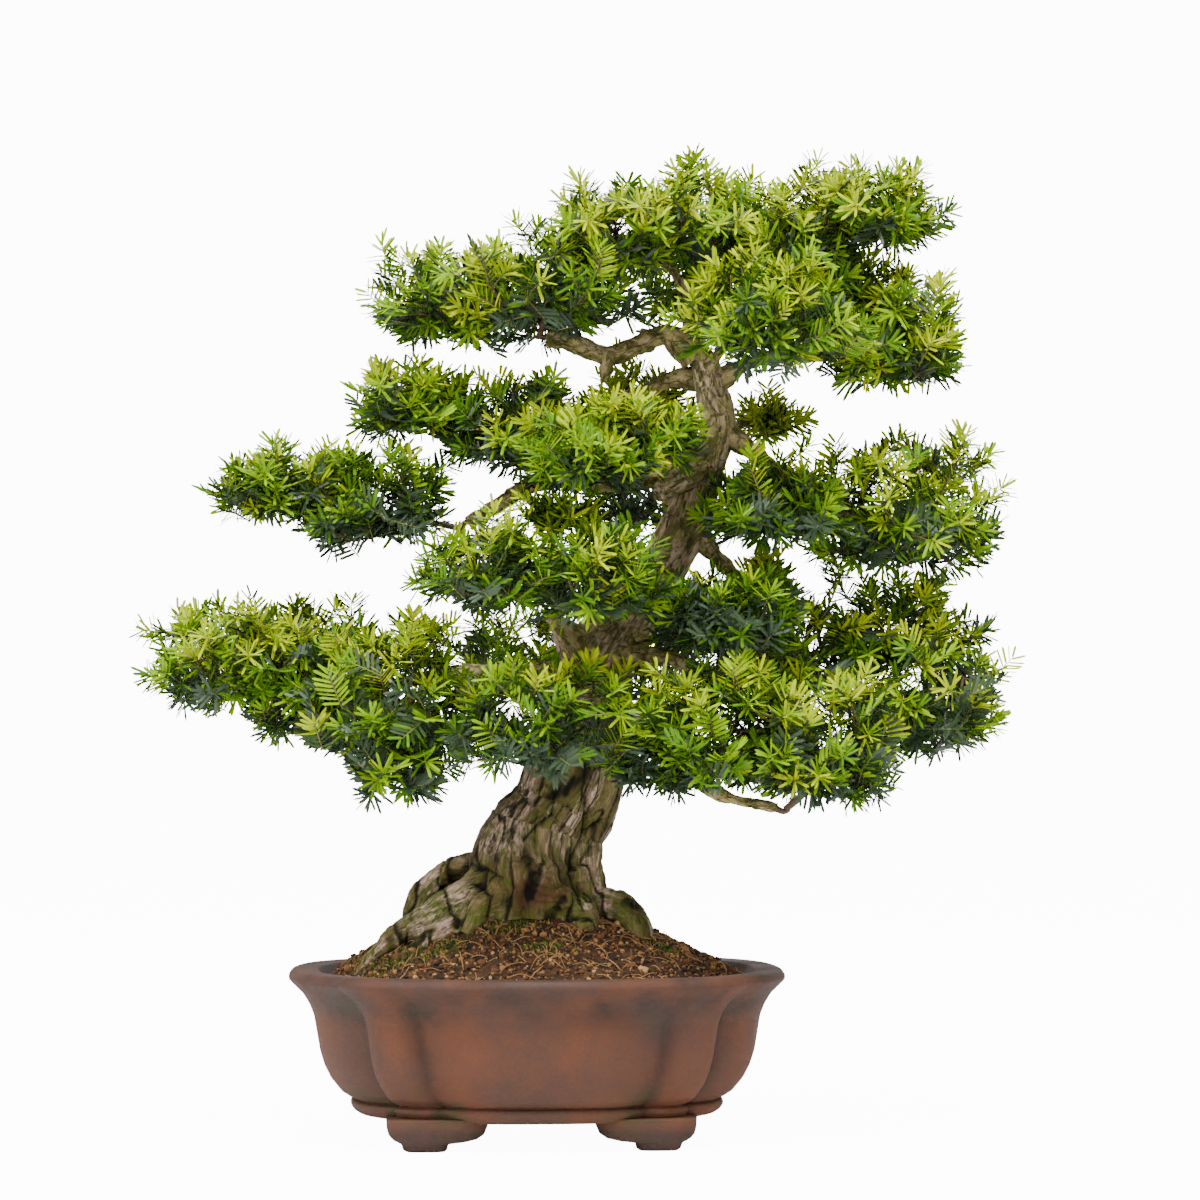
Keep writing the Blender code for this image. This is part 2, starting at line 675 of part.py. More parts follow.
def segment_distance(a, b, c, d):
    """Return the least distance between two straight pieces."""
    u, v, w = b - a, d - c, a - c
    uu, uv, vv = u.dot(u), u.dot(v), v.dot(v)
    uw, vw = u.dot(w), v.dot(w)
    spread = uu * vv - uv * uv
    s = min(1.0, max(0.0, (uv * vw - vv * uw) / spread)) if spread > 1e-9 else 0.0
    t = (uv * s + vw) / vv if vv > 1e-9 else 0.0
    if t < 0.0 or t > 1.0:
        t = min(1.0, max(0.0, t))
        s = min(1.0, max(0.0, (uv * t - uw) / uu)) if uu > 1e-9 else 0.0
    return (a + u * s - c - v * t).length


def woody_space():
    """Return the space that the trunk, roots and boughs take up."""
    space = Space()
    stations = smooth_route(TRUNK_STATIONS, TRUNK_SPACING)
    swelling = 1.0 + sum(depth for count, depth, start, turns in FLUTES) / 2
    for low, high in zip(stations, stations[1:]):
        space.add(Vector(low[:3]), Vector(high[:3]), max(low[3], high[3]) * swelling, "trunk")
    for name in ("dead_stub", "sawn_stump"):
        for low, high in zip(GROWTHS[name], GROWTHS[name][1:]):
            space.add(Vector(low[:3]), Vector(high[:3]), low[3], "trunk")
    for limb in LIMBS:
        for low, high in zip(limb_stations(limb), limb_stations(limb)[1:]):
            space.add(low[0], high[0], low[1], limb.name)
    return space


def lens_level(clump):
    """Return the middle of a clump's widest level, which lies under the middle of its box."""
    upper = 2.0 * clump.half[2] / (1.0 + UNDERSIDE_SHARE)
    return Vector(clump.centre) + Vector((0.0, 0.0, clump.half[2] - upper))


def clump_point(clump, direction):
    """Return the point of a clump's lobed lens in a direction, its dome deeper than its underside."""
    depth = 2.0 * clump.half[2] / (1.0 + UNDERSIDE_SHARE)
    if direction.z < 0.0:
        depth *= UNDERSIDE_SHARE
    offset = Vector((direction.x * clump.half[0], direction.y * clump.half[1], direction.z * depth))
    bearing = math.atan2(direction.y, direction.x)
    phase = clump.centre[0] * RIM_PHASE
    lobes = 1.0 + sum(deep * math.sin(count * bearing + share * phase + tilt * direction.z)
                      for count, deep, share, tilt in RIM_LOBES)
    fullness = sum(abs(share) ** LENS_POWER for share in direction) ** (-1.0 / LENS_POWER)
    return lens_level(clump) + offset * (lobes * fullness)


def spread_direction(index, count, rng):
    """Return one of count directions dealt evenly round a lens by the golden turn."""
    height = FIRST_WAY - WAY_FALL * (index + 0.5) / count
    height = max(-STEEPEST_WAY, min(STEEPEST_WAY, height + rng.uniform(-WAY_JITTER, WAY_JITTER)))
    turn = index * GOLDEN_TURN + rng.uniform(-TURN_JITTER, TURN_JITTER)
    level = math.sqrt(1.0 - height * height)
    return Vector((math.cos(turn) * level, math.sin(turn) * level, height))


@dataclass
class Fork:
    """A place on the twigs that more twigs can leave from, and its way back to the stem."""

    place: Vector
    way: float


def nearest_fork(forks, tip):
    """Return the fork with the shortest way to a tip, counting part of the way back to the stem."""
    return min(forks, key=lambda fork: (tip - fork.place).length + PATH_WEIGHT * fork.way)


def spray_frame(axis, rng):
    """Return the side and face vectors of a spray along an axis, rolled by up to a third of a turn."""
    level = Vector((0.0, 0.0, 1.0))
    if abs(axis.z) > UPRIGHT_FROM:
        level = UPRIGHT_GUIDE
    side = axis.cross(level).normalized()
    side.rotate(Matrix.Rotation(rng.uniform(-SPRAY_ROLL, SPRAY_ROLL), 3, axis))
    return side, side.cross(axis).normalized()


def spray_teeth(root, axis, side, length, half_width):
    """Return the spine points of a toothed blade and its teeth as (base index, hand, tip)."""
    spine = []
    for i in range(SPRAY_TEETH + 1):
        spine.append(root + axis * (length * (SPINE_START + SPINE_RUN * i / SPRAY_TEETH)))
    teeth = []
    for i in range(SPRAY_TEETH):
        fullness = TOOTH_LEAST + (1.0 - TOOTH_LEAST) * i / (SPRAY_TEETH - 1)
        for hand in (-1.0, 1.0):
            middle = (spine[i] + spine[i + 1]) / 2
            reach = half_width * fullness
            teeth.append((i, hand, middle + side * (hand * reach) + axis * (reach * TOOTH_LEAN)))
    return spine, teeth, root + axis * length


def make_spray(name, root, axis, side, face, length, half_width, collection):
    """Make one spray of needles: a blade whose teeth taper to points."""
    spine, teeth, tip = spray_teeth(root, axis, side, length, half_width)
    core = half_width * SPRAY_CORE
    bm = bmesh.new()
    corners = []
    for i, point in enumerate(spine):
        width = core * (SPRAY_END_CORE if i in (0, SPRAY_TEETH) else 1.0)
        corners.append({(hand, level): bm.verts.new(point + side * hand * width
                                                    + face * level * SPRAY_THICKNESS / 2)
                        for hand in (-1.0, 1.0) for level in (-1.0, 1.0)})
    for low, high in zip(corners, corners[1:]):
        for level in (-1.0, 1.0):
            bm.faces.new((low[-1.0, level], low[1.0, level], high[1.0, level], high[-1.0, level]))
    bm.faces.new([corners[0][key] for key in ((-1.0, -1.0), (1.0, -1.0), (1.0, 1.0), (-1.0, 1.0))])
    for i, hand, place in teeth:
        low, high = corners[i], corners[i + 1]
        base = (low[hand, -1.0], low[hand, 1.0], high[hand, 1.0], high[hand, -1.0])
        add_point(bm, base, place)
    last = corners[-1]
    add_point(bm, (last[-1.0, -1.0], last[-1.0, 1.0], last[1.0, 1.0], last[1.0, -1.0]), tip)
    return mesh_object(name, bm, collection)


def add_point(bm, base, place):
    """Close four corners to one point."""
    tip = bm.verts.new(place)
    for a, b in zip(base, base[1:] + base[:1]):
        bm.faces.new((a, b, tip))


def make_twig(start, end, start_radius, end_radius, sides, collection):
    """Make one straight tapering twig as a cone between two points."""
    bm = bmesh.new()
    run = end - start
    bmesh.ops.create_cone(bm, cap_ends=True, segments=sides, radius1=start_radius,
                          radius2=end_radius, depth=run.length)
    turn = Vector((0.0, 0.0, 1.0)).rotation_difference(run.normalized()).to_matrix().to_4x4()
    bmesh.ops.transform(bm, matrix=Matrix.Translation((start + end) / 2) @ turn, verts=bm.verts)
    return mesh_object("twig", bm, collection)


def spray_is_clear(space, spine, teeth, tip):
    """Tell whether a spray keeps clear of all that has grown, and take up its space if it does."""
    pieces = [(spine[1], tip, SPRAY_THICKNESS)]
    pieces += [((spine[i] + spine[i + 1]) / 2, place, SPRAY_THICKNESS) for i, _, place in teeth]
    if not all(space.is_clear(*piece) for piece in pieces):
        return False
    for start, end, radius in pieces:
        space.add(start, end, radius, "sprays")
    return True


def clump_directions(clump, source, rng):
    """Return the ways to a clump's sprays: onwards from the stem, straight up, then all round."""
    onwards = Vector(clump.centre) - source
    onwards.z = 0.0
    ways = [onwards.normalized(), Vector((0.0, 0.0, 1.0))]
    count = clump.sprays - len(ways)
    return ways + [spread_direction(index, count, rng) for index in range(count)]


def grow_clump(clump, mass, forks, space, rng, pieces):
    """Grow one clump: a run to its hub, then twigs and sprays out to its lens."""
    hub = lens_level(clump) - Vector((0.0, 0.0, clump.half[2] * HUB_DROP))
    source = nearest_fork(forks, hub)
    run_radius = TWIG_ROOT_RADIUS * RUN_ROOT_SHARE
    make_twig(source.place, hub, run_radius, TWIG_ROOT_RADIUS * RUN_TIP_SHARE, 4, pieces)
    space.add(source.place, hub, run_radius, mass.name)
    for share in FORK_SHARES:
        place = source.place.lerp(hub, share)
        forks.append(Fork(place, source.way + (place - source.place).length))
    for way in clump_directions(clump, source.place, rng):
        for attempt in range(TRIES_PER_SPRAY):
            if attempt:
                way = (way + random_nudge(rng) * NUDGE).normalized()
            tip = clump_point(clump, way)
            lift = Vector((0.0, 0.0, SPRAY_LIFT * rng.random()))
            axis = ((tip - hub).normalized() + lift).normalized()
            size = rng.uniform(*SPRAY_SIZES) - SPRAY_SHRINK * attempt
            length = min(SPRAY_LENGTH * size, (tip - hub).length * SPRAY_REACH_SHARE)
            root = tip - axis * length
            side, face = spray_frame(axis, rng)
            half_width = min(SPRAY_HALF_WIDTH * size, length * SPRAY_SLIMNESS)
            spine, teeth, point = spray_teeth(root, axis, side, length, half_width)
            fork = nearest_fork(forks, root)
            twig_end = spine[0] + axis * TWIG_SINK
            if (twig_end - fork.place).length < SHORTEST_TWIG:
                continue
            if not space.is_clear(fork.place, twig_end, TWIG_ROOT_RADIUS, mass.name):
                continue
            if not spray_is_clear(space, spine, teeth, point):
                continue
            space.add(fork.place, twig_end, TWIG_ROOT_RADIUS, mass.name)
            make_twig(fork.place, twig_end, TWIG_ROOT_RADIUS, TWIG_TIP_RADIUS, 3, pieces)
            make_spray("spray", root, axis, side, face, length, half_width, pieces)
            elbow = fork.place.lerp(twig_end, ELBOW_SHARE)
            forks.append(Fork(elbow, fork.way + (elbow - fork.place).length))
            break


def random_nudge(rng):
    """Return a small vector in any direction."""
    return Vector((rng.uniform(-1, 1), rng.uniform(-1, 1), rng.uniform(-1, 1)))


def make_mass(mass, space, collection):
    """Grow one mass of foliage on from its limb's tip and fuse it into one solid."""
    rng = random.Random(mass.seed)
    limb = next(limb for limb in LIMBS if limb.name == mass.limb)
    stations = limb_stations(limb)
    heading = (stations[-1][0] - stations[-2][0]).normalized()
    foot = stations[-1][0] + heading * GAP
    knee = foot + heading * STEM_RUN
    root_radius = limb.tip_radius * STEM_ROOT_SHARE
    stem = make_twig(foot, knee, root_radius, limb.tip_radius * STEM_TIP_SHARE, 6, collection)
    stem.name = mass.name
    stem.data.name = mass.name
    space.add(foot + heading * STEM_SPACE_START, knee, limb.tip_radius, mass.name)
    pieces = make_collection("growth of " + mass.name)
    forks = [Fork(knee - heading * STEM_BACK, 0.0)]
    for clump in mass.clumps:
        grow_clump(clump, mass, forks, space, rng, pieces)
    apply_boolean(stem, "UNION", pieces)
    return stem


def dress(items, material):
    """Give each object the one material."""
    for item in items:
        item.data.materials.clear()
        item.data.materials.append(material)


def main():
    """Build the plant and its pot."""
    clear_scene()
    plant = make_collection("japanese yew bonsai")
    clay = make_material("clay", CLAY_COLOUR, 0.8)
    earth = make_material("soil", SOIL_COLOUR, 1.0)
    bark = make_material("bark", BARK_COLOUR, 0.85)
    leaf = make_material("foliage", LEAF_COLOUR, 0.6)
    dress([make_pot(plant)], clay)
    seat = make_collection("seat of the trunk")
    mark_cutter(make_trunk_with_roots(seat, GAP))
    dress([make_soil(plant, seat)], earth)
    dress([make_trunk_with_roots(plant)], bark)
    dress(make_boughs(plant), bark)
    space = woody_space()
    dress([make_mass(mass, space, plant) for mass in MASSES], leaf)


if __name__ == "__main__":
    main()
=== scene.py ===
"""Looks of a japanese yew bonsai in a lobed clay pot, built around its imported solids.

Lengths are in millimetres until a mesh is made. The frame has +Z up and the front at -Y. The
needles, twigs and boughs grow by the same rule as the solids, carried to finer twigs.
"""

import logging
import math
from dataclasses import dataclass, field
from enum import Enum

import bpy
import numpy as np
from numpy.typing import NDArray
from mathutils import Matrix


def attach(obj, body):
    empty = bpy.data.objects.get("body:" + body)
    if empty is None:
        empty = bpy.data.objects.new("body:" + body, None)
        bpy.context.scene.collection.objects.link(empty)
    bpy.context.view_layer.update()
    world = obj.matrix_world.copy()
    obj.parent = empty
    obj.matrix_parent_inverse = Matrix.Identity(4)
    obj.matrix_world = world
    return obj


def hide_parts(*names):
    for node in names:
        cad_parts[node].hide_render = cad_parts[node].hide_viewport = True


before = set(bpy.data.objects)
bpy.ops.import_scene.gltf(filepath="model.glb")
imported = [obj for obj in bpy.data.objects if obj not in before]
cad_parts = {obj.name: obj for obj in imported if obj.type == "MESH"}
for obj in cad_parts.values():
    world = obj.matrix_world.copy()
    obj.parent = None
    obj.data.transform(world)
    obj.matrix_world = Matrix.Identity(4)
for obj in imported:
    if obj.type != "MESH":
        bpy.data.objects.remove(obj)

Array = NDArray[np.float64]
Socket = bpy.types.NodeSocket
Colour = tuple[float, float, float]

LOG = logging.getLogger("yew")
MM = 0.001
UP = np.array([0.0, 0.0, 1.0])
GOLDEN_TURN = math.pi * (3.0 - math.sqrt(5.0))


# Numbers and fields


def unit(vectors: Array) -> Array:
    """Return vectors scaled to length one."""
    return vectors / np.maximum(np.linalg.norm(vectors, axis=-1, keepdims=True), 1e-9)


def ease(low: float, high: float, values: Array) -> Array:
    """Return a smooth step from 0 at low to 1 at high: 3t^2 - 2t^3 of the clipped share t."""
    share = np.clip((values - low) / (high - low), 0.0, 1.0)
    return share * share * (3.0 - 2.0 * share)


def lattice_value(cells: NDArray[np.int64], seed: int) -> Array:
    """Return a fixed random value between -1 and 1 for each whole-number cell.

    Args:
        cells: Cell numbers, three a row.
        seed: Which family of values is read.

    Returns:
        One value a row, from a 32 bit mixing of the cell numbers.
    """
    mask = 0xFFFFFFFF
    mixed = cells[..., 0] * 374761393 + cells[..., 1] * 668265263 + cells[..., 2] * 1442695041
    mixed = (mixed + seed * 974634777) & mask
    mixed = ((mixed ^ (mixed >> 13)) * 1274126177) & mask
    mixed = mixed ^ (mixed >> 16)
    return mixed / 2147483648.0 - 1.0


def noise(points: Array, seed: int) -> Array:
    """Return smooth noise between -1 and 1: lattice values blended by cubic weights.

    Args:
        points: Places, three a row, with one lattice cell to a unit.
        seed: Which noise is read.

    Returns:
        One value a row.
    """
    base = np.floor(points).astype(np.int64)
    part = points - base
    weight = part * part * (3.0 - 2.0 * part)
    total = np.zeros(len(points))
    for corner in range(8):
        offset = np.array([(corner >> axis) & 1 for axis in range(3)])
        share = np.prod(np.where(offset == 1, weight, 1.0 - weight), axis=1)
        total += lattice_value(base + offset, seed) * share
    return total


def layered_noise(points: Array, seed: int, layers: int = 3) -> Array:
    """Return a sum of noises, each at twice the pitch and half the height of the one before."""
    total = np.zeros(len(points))
    for layer in range(layers):
        total += noise(points * 2.0**layer, seed + layer) * 0.5**layer
    return total


def plates(points: Array, seed: int) -> tuple[Array, Array, Array]:
    """Return the pattern of plates with cracks between them.

    Each unit cell holds one jittered seed point. The distance to the nearest one and to the next
    one are compared: their difference falls to zero along the cracks.

    Args:
        points: Places, three a row, with about one plate to a unit.
        seed: Which pattern is read.

    Returns:
        The difference of the two distances, a random value for the plate at each place, and how
        far the place lies up or down the plate's own random slope.
    """
    base = np.floor(points).astype(np.int64)
    first = np.full(len(points), 9.0)
    second = np.full(len(points), 9.0)
    value = np.zeros(len(points))
    slope = np.zeros(len(points))
    for index in range(27):
        offset = np.array([index // 9 - 1, index // 3 % 3 - 1, index % 3 - 1])
        cell = base + offset
        jitter = np.stack([lattice_value(cell, seed + k) for k in range(3)], axis=1)
        far = np.linalg.norm(cell + 0.5 + 0.42 * jitter - points, axis=1)
        nearer = far < first
        second = np.where(nearer, first, np.minimum(second, far))
        value = np.where(nearer, lattice_value(cell, seed + 9), value)
        lean = np.stack([lattice_value(cell, seed + 20 + k) for k in range(3)], axis=1)
        tilt = np.sum((points - cell - 0.5 - 0.42 * jitter) * unit(lean), axis=1)
        slope = np.where(nearer, tilt, slope)
        first = np.where(nearer, far, first)
    return second - first, value, slope


def smooth_route(knots: Array, spacing: float) -> Array:
    """Read a Catmull-Rom curve through rows of numbers, about one reading per spacing.

    Args:
        knots: One knot a row; the first three columns are its place.
        spacing: Distance between readings.

    Returns:
        The readings, with as many columns as the knots have.
    """
    rows = np.asarray(knots, float)
    rows = np.vstack([rows[0] * 2 - rows[1], rows, rows[-1] * 2 - rows[-2]])
    readings = []
    for a, b, c, d in zip(rows, rows[1:], rows[2:], rows[3:]):
        steps = max(1, round(float(np.linalg.norm(c[:3] - b[:3])) / spacing))
        t = (np.arange(steps) / steps)[:, None]
        bend = (2 * a - 5 * b + 4 * c - d) * t**2 + (3 * b - 3 * c + d - a) * t**3
        readings.append(0.5 * (2 * b + (c - a) * t + bend))
    readings.append(rows[-2][None])
    return np.vstack(readings)


# Surfaces


@dataclass
class Surface:
    """The faces of one piece, gathered from grids, tubes and small shapes."""

    points: list[Array] = field(default_factory=list)
    corners: list[NDArray[np.int64]] = field(default_factory=list)
    sizes: list[NDArray[np.int64]] = field(default_factory=list)
    count: int = 0

    def add(self, points: Array, *faces: NDArray[np.int64]) -> None:
        """Add points and the faces between them.

        Args:
            points: Places in millimetres, three a row.
            faces: Arrays of corner numbers, one face a row, counted from the first new point.
        """
        self.points.append(points)
        for block in faces:
            self.corners.append((block + self.count).ravel())
            self.sizes.append(np.full(len(block), block.shape[1]))
        self.count += len(points)

    def piece(self, name: str, smooth: bool = True) -> bpy.types.Object:
        """Return the faces as one object with its place in its mesh.

        Args:
            name: The object's name.
            smooth: Whether its faces are shaded as one curved surface.
        """
        corners = np.concatenate(self.corners)
        sizes = np.concatenate(self.sizes)
        mesh = bpy.data.meshes.new(name)
        mesh.vertices.add(self.count)
        mesh.vertices.foreach_set("co", (np.vstack(self.points) * MM).astype(np.float32).ravel())
        mesh.loops.add(len(corners))
        mesh.loops.foreach_set("vertex_index", corners.astype(np.int32))
        mesh.polygons.add(len(sizes))
        mesh.polygons.foreach_set("loop_start", (np.cumsum(sizes) - sizes).astype(np.int32))
        mesh.polygons.foreach_set("use_smooth", np.full(len(sizes), smooth))
        mesh.update(calc_edges=True)
        mesh.validate()
        item = bpy.data.objects.new(name, mesh)
        bpy.context.scene.collection.objects.link(item)
        return item


def grid_faces(rows: int, columns: int, closed: bool) -> NDArray[np.int64]:
    """Return the quads of a grid of points, its last column joined to its first if closed."""
    i = np.arange(rows - 1)[:, None]
    j = np.arange(columns if closed else columns - 1)[None, :]
    k = (j + 1) % columns
    quads = np.stack([i * columns + j, i * columns + k, (i + 1) * columns + k, (i + 1) * columns + j])
    return quads.reshape(4, -1).T


def tube_frames(paths: Array) -> tuple[Array, Array, Array]:
    """Return the tangent, side and up vectors along each path.

    Args:
        paths: Points as (paths, points, 3).

    Returns:
        Three arrays of that shape; side and up are square to the tangent and to each other.
    """
    tangent = unit(np.gradient(paths, axis=1))
    least = np.argmin(np.abs(paths[:, -1] - paths[:, 0]), axis=1)
    guide = np.eye(3)[least][:, None, :]
    side = unit(guide - tangent * np.sum(guide * tangent, axis=2, keepdims=True))
    return tangent, side, np.cross(tangent, side)


def add_tubes(surface: Surface, paths: Array, radii: Array, sides: int) -> None:
    """Add closed tubes, each with as many points.

    A ring's point is the path's point plus the radius times (side cos a + up sin a).

    Args:
        surface: What the tubes are added to.
        paths: Middle lines as (paths, points, 3).
        radii: Radii as (paths, points) or (paths, points, sides).
        sides: How many points a ring has.
    """
    tangent, side, up = tube_frames(paths)
    angle = 2.0 * np.pi * np.arange(sides) / sides
    if radii.ndim == 2:
        radii = radii[:, :, None]
    spoke = side[:, :, None] * np.cos(angle)[:, None] + up[:, :, None] * np.sin(angle)[:, None]
    rings = paths[:, :, None] + spoke * radii[..., None]
    count, length = paths.shape[:2]
    block = length * sides
    starts = (np.arange(count) * block)[:, None, None]
    quads = (grid_faces(length, sides, True)[None] + starts).reshape(-1, 4)
    middles = count * block + np.arange(count)[:, None]
    j = np.arange(sides)[None]
    k = (j + 1) % sides
    first = starts[:, :, 0]
    last = first + block - sides
    near = np.stack([middles + 0 * j, first + k, first + j], axis=2).reshape(-1, 3)
    far = np.stack([middles + count + 0 * j, last + j, last + k], axis=2).reshape(-1, 3)
    ends = np.vstack([paths[:, 0], paths[:, -1]])
    surface.add(np.vstack([rings.reshape(-1, 3), ends]), quads, near, far)


def show(item: bpy.types.Object, material: bpy.types.Material, nodes: list[str]) -> None:
    """Give a piece its finish, let it ride on the one body and stand for CAD nodes."""
    item.data.materials.clear()
    item.data.materials.append(material)
    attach(item, "root")
    if nodes:
        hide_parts(*nodes)
    LOG.info("%s: %d faces", item.name, len(item.data.polygons))


# Finishes


class Sheet:
    """A node tree with short calls for the nodes that the finishes use."""

    def __init__(self, tree: bpy.types.NodeTree) -> None:
        """Keep the tree."""
        self.tree = tree

    def node(self, kind: str, **settings: object) -> bpy.types.Node:
        """Return a new node with its settings."""
        made = self.tree.nodes.new(kind)
        for key, value in settings.items():
            setattr(made, key, value)
        return made

    def feed(self, target: Socket, source: object) -> None:
        """Link a socket to another, or set its value."""
        if isinstance(source, Socket):
            self.tree.links.new(source, target)
        elif isinstance(source, tuple) and len(source) == 3 and target.type == "RGBA":
            target.default_value = (*source, 1.0)
        else:
            target.default_value = source

    def place(self) -> Socket:
        """Return the object's own coordinates."""
        return self.node("ShaderNodeTexCoord").outputs["Object"]

    def attribute(self, name: str, output: str = "Fac") -> Socket:
        """Return one of the piece's attributes."""
        return self.node("ShaderNodeAttribute", attribute_name=name).outputs[output]

    def stretch(self, place: Socket, scale: Colour) -> Socket:
        """Return coordinates scaled along each axis."""
        made = self.node("ShaderNodeMapping")
        self.feed(made.inputs["Vector"], place)
        made.inputs["Scale"].default_value = scale
        return made.outputs["Vector"]

    def noise(self, place: Socket, scale: float, detail: float = 4.0, rough: float = 0.55) -> Socket:
        """Return a noise's value between 0 and 1."""
        made = self.node("ShaderNodeTexNoise")
        self.feed(made.inputs["Vector"], place)
        self.feed(made.inputs["Scale"], scale)
        made.inputs["Detail"].default_value = detail
        made.inputs["Roughness"].default_value = rough
        return made.outputs["Fac"]

    def warp(self, place: Socket, scale: float, reach: float) -> Socket:
        """Return coordinates moved all ways by a noise, by up to half the reach."""
        made = self.node("ShaderNodeTexNoise")
        self.feed(made.inputs["Vector"], place)
        self.feed(made.inputs["Scale"], scale)
        moved = self.node("ShaderNodeVectorMath", operation="MULTIPLY_ADD")
        self.feed(moved.inputs[0], made.outputs["Color"])
        moved.inputs[1].default_value = (reach, reach, reach)
        self.feed(moved.inputs[2], place)
        return moved.outputs[0]

    def cells(self, place: Socket, scale: float) -> Socket:
        """Return the distance to the nearest edge between scattered cells."""
        made = self.node("ShaderNodeTexVoronoi", feature="DISTANCE_TO_EDGE")
        self.feed(made.inputs["Vector"], place)
        self.feed(made.inputs["Scale"], scale)
        return made.outputs["Distance"]

    def span(self, value: Socket, low: object, high: object, out_low: float = 0.0,
             out_high: float = 1.0) -> Socket:
        """Return a value carried smoothly from one span to another."""
        made = self.node("ShaderNodeMapRange", interpolation_type="SMOOTHSTEP")
        self.feed(made.inputs["Value"], value)
        self.feed(made.inputs["From Min"], low)
        self.feed(made.inputs["From Max"], high)
        made.inputs["To Min"].default_value = out_low
        made.inputs["To Max"].default_value = out_high
        return made.outputs["Result"]

    def mix(self, share: object, first: object, second: object) -> Socket:
        """Return a colour between two."""
        made = self.node("ShaderNodeMix", data_type="RGBA")
        self.feed(made.inputs[0], share)
        self.feed(made.inputs[6], first)
        self.feed(made.inputs[7], second)
        return made.outputs[2]

    def work(self, operation: str, first: object, second: object = 0.0) -> Socket:
        """Return the result of one sum on two values."""
        made = self.node("ShaderNodeMath", operation=operation)
        self.feed(made.inputs[0], first)
        self.feed(made.inputs[1], second)
        return made.outputs[0]

    def bump(self, height: Socket, distance: float, strength: float, normal: object = None) -> Socket:
        """Return a normal roughened by a height."""
        made = self.node("ShaderNodeBump")
        made.inputs["Strength"].default_value = strength
        made.inputs["Distance"].default_value = distance
        self.feed(made.inputs["Height"], height)
        if normal is not None:
            self.feed(made.inputs["Normal"], normal)
        return made.outputs["Normal"]

    def group(self, tree: bpy.types.NodeTree, **inputs: object) -> bpy.types.Node:
        """Return a placed node group with its own values."""
        made = self.node("ShaderNodeGroup", node_tree=tree)
        for key, value in inputs.items():
            self.feed(made.inputs[key.replace("_", " ")], value)
        return made


def new_material(name: str) -> tuple[Sheet, bpy.types.Node, bpy.types.Material]:
    """Return a new material's sheet, its Principled shader and the material."""
    material = bpy.data.materials.new(name)
    material.use_nodes = True
    return Sheet(material.node_tree), material.node_tree.nodes["Principled BSDF"], material


def mottle_group() -> bpy.types.NodeTree:
    """Return the group that lays blotches and fine grain of a second colour over a first.

    Returns:
        A group with the inputs Place, Blotch Scale, Grain Scale, Low Colour and High Colour, and
        the outputs Colour, Mask and Grain.
    """
    tree = bpy.data.node_groups.new("mottle", "ShaderNodeTree")
    for name, kind in (("Place", "NodeSocketVector"), ("Blotch Scale", "NodeSocketFloat"),
                       ("Grain Scale", "NodeSocketFloat"), ("Low Colour", "NodeSocketColor"),
                       ("High Colour", "NodeSocketColor")):
        tree.interface.new_socket(name, in_out="INPUT", socket_type=kind)
    for name, kind in (("Colour", "NodeSocketColor"), ("Mask", "NodeSocketFloat"),
                       ("Grain", "NodeSocketFloat")):
        tree.interface.new_socket(name, in_out="OUTPUT", socket_type=kind)
    sheet = Sheet(tree)
    inside = sheet.node("NodeGroupInput").outputs
    outside = sheet.node("NodeGroupOutput").inputs
    blotch = sheet.noise(inside["Place"], inside["Blotch Scale"], 3.0)
    grain = sheet.noise(inside["Place"], inside["Grain Scale"], 5.0, 0.7)
    both = sheet.work("ADD", sheet.work("MULTIPLY", blotch, 0.65), sheet.work("MULTIPLY", grain, 0.35))
    mask = sheet.span(both, 0.36, 0.64)
    sheet.feed(outside["Mask"], mask)
    sheet.feed(outside["Grain"], grain)
    sheet.feed(outside["Colour"], sheet.mix(mask, inside["Low Colour"], inside["High Colour"]))
    return tree


@dataclass(frozen=True)
class PlainFinish:
    """One even colour, for parts too small to show more."""

    name: str
    colour: Colour
    roughness: float = 0.55
    gloss: float = 0.5

    def build(self) -> bpy.types.Material:
        """Return the material."""
        _, shader, material = new_material(self.name)
        shader.inputs["Base Color"].default_value = (*self.colour, 1.0)
        shader.inputs["Roughness"].default_value = self.roughness
        shader.inputs["Specular IOR Level"].default_value = self.gloss
        return material


@dataclass(frozen=True)
class ClayFinish:
    """Unglazed red-brown clay, darker and greyer in a band from under the rim over the rim, with painted
    shade in its grooves and on its feet, and greenish in its low grooves.
    """

    low: Colour = (0.070, 0.024, 0.011)
    high: Colour = (0.138, 0.045, 0.018)
    smoke: Colour = (0.034, 0.015, 0.009)
    algae: Colour = (0.050, 0.042, 0.008)
    bloom: Colour = (0.26, 0.17, 0.12)

    def build(self, mottle: bpy.types.NodeTree) -> bpy.types.Material:
        """Return the material; its masks are two attributes: the darker rim band with painted shade in the
        grooves and on the feet, and damp.
        """
        sheet, shader, material = new_material("unglazed_clay")
        place = sheet.place()
        base = sheet.group(mottle, Place=place, Blotch_Scale=14.0, Grain_Scale=420.0,
                           Low_Colour=self.low, High_Colour=self.high)
        drift = sheet.noise(place, 34.0, 5.0, 0.6)
        # Darker greyer clay by its mask: the band at the rim, and painted shade in the grooves and on the
        # feet.
        rim_band_and_shade_share = sheet.work("MULTIPLY", sheet.attribute("smoke"), sheet.span(drift, 0.30, 0.62, 0.55))
        colour = sheet.mix(rim_band_and_shade_share, base.outputs["Colour"], self.smoke)
        damp = sheet.work("MULTIPLY", sheet.attribute("damp"), sheet.span(drift, 0.42, 0.62))
        colour = sheet.mix(damp, colour, self.algae)
        specks = sheet.span(sheet.noise(place, 900.0, 2.0), 0.70, 0.78, 0.0, 0.5)
        colour = sheet.mix(specks, colour, self.bloom)
        sheet.feed(shader.inputs["Base Color"], colour)
        sheet.feed(shader.inputs["Roughness"], sheet.span(base.outputs["Mask"], 0.0, 1.0, 0.62, 0.82))
        sheet.feed(shader.inputs["Normal"], sheet.bump(base.outputs["Grain"], 0.0006, 0.5))
        return material


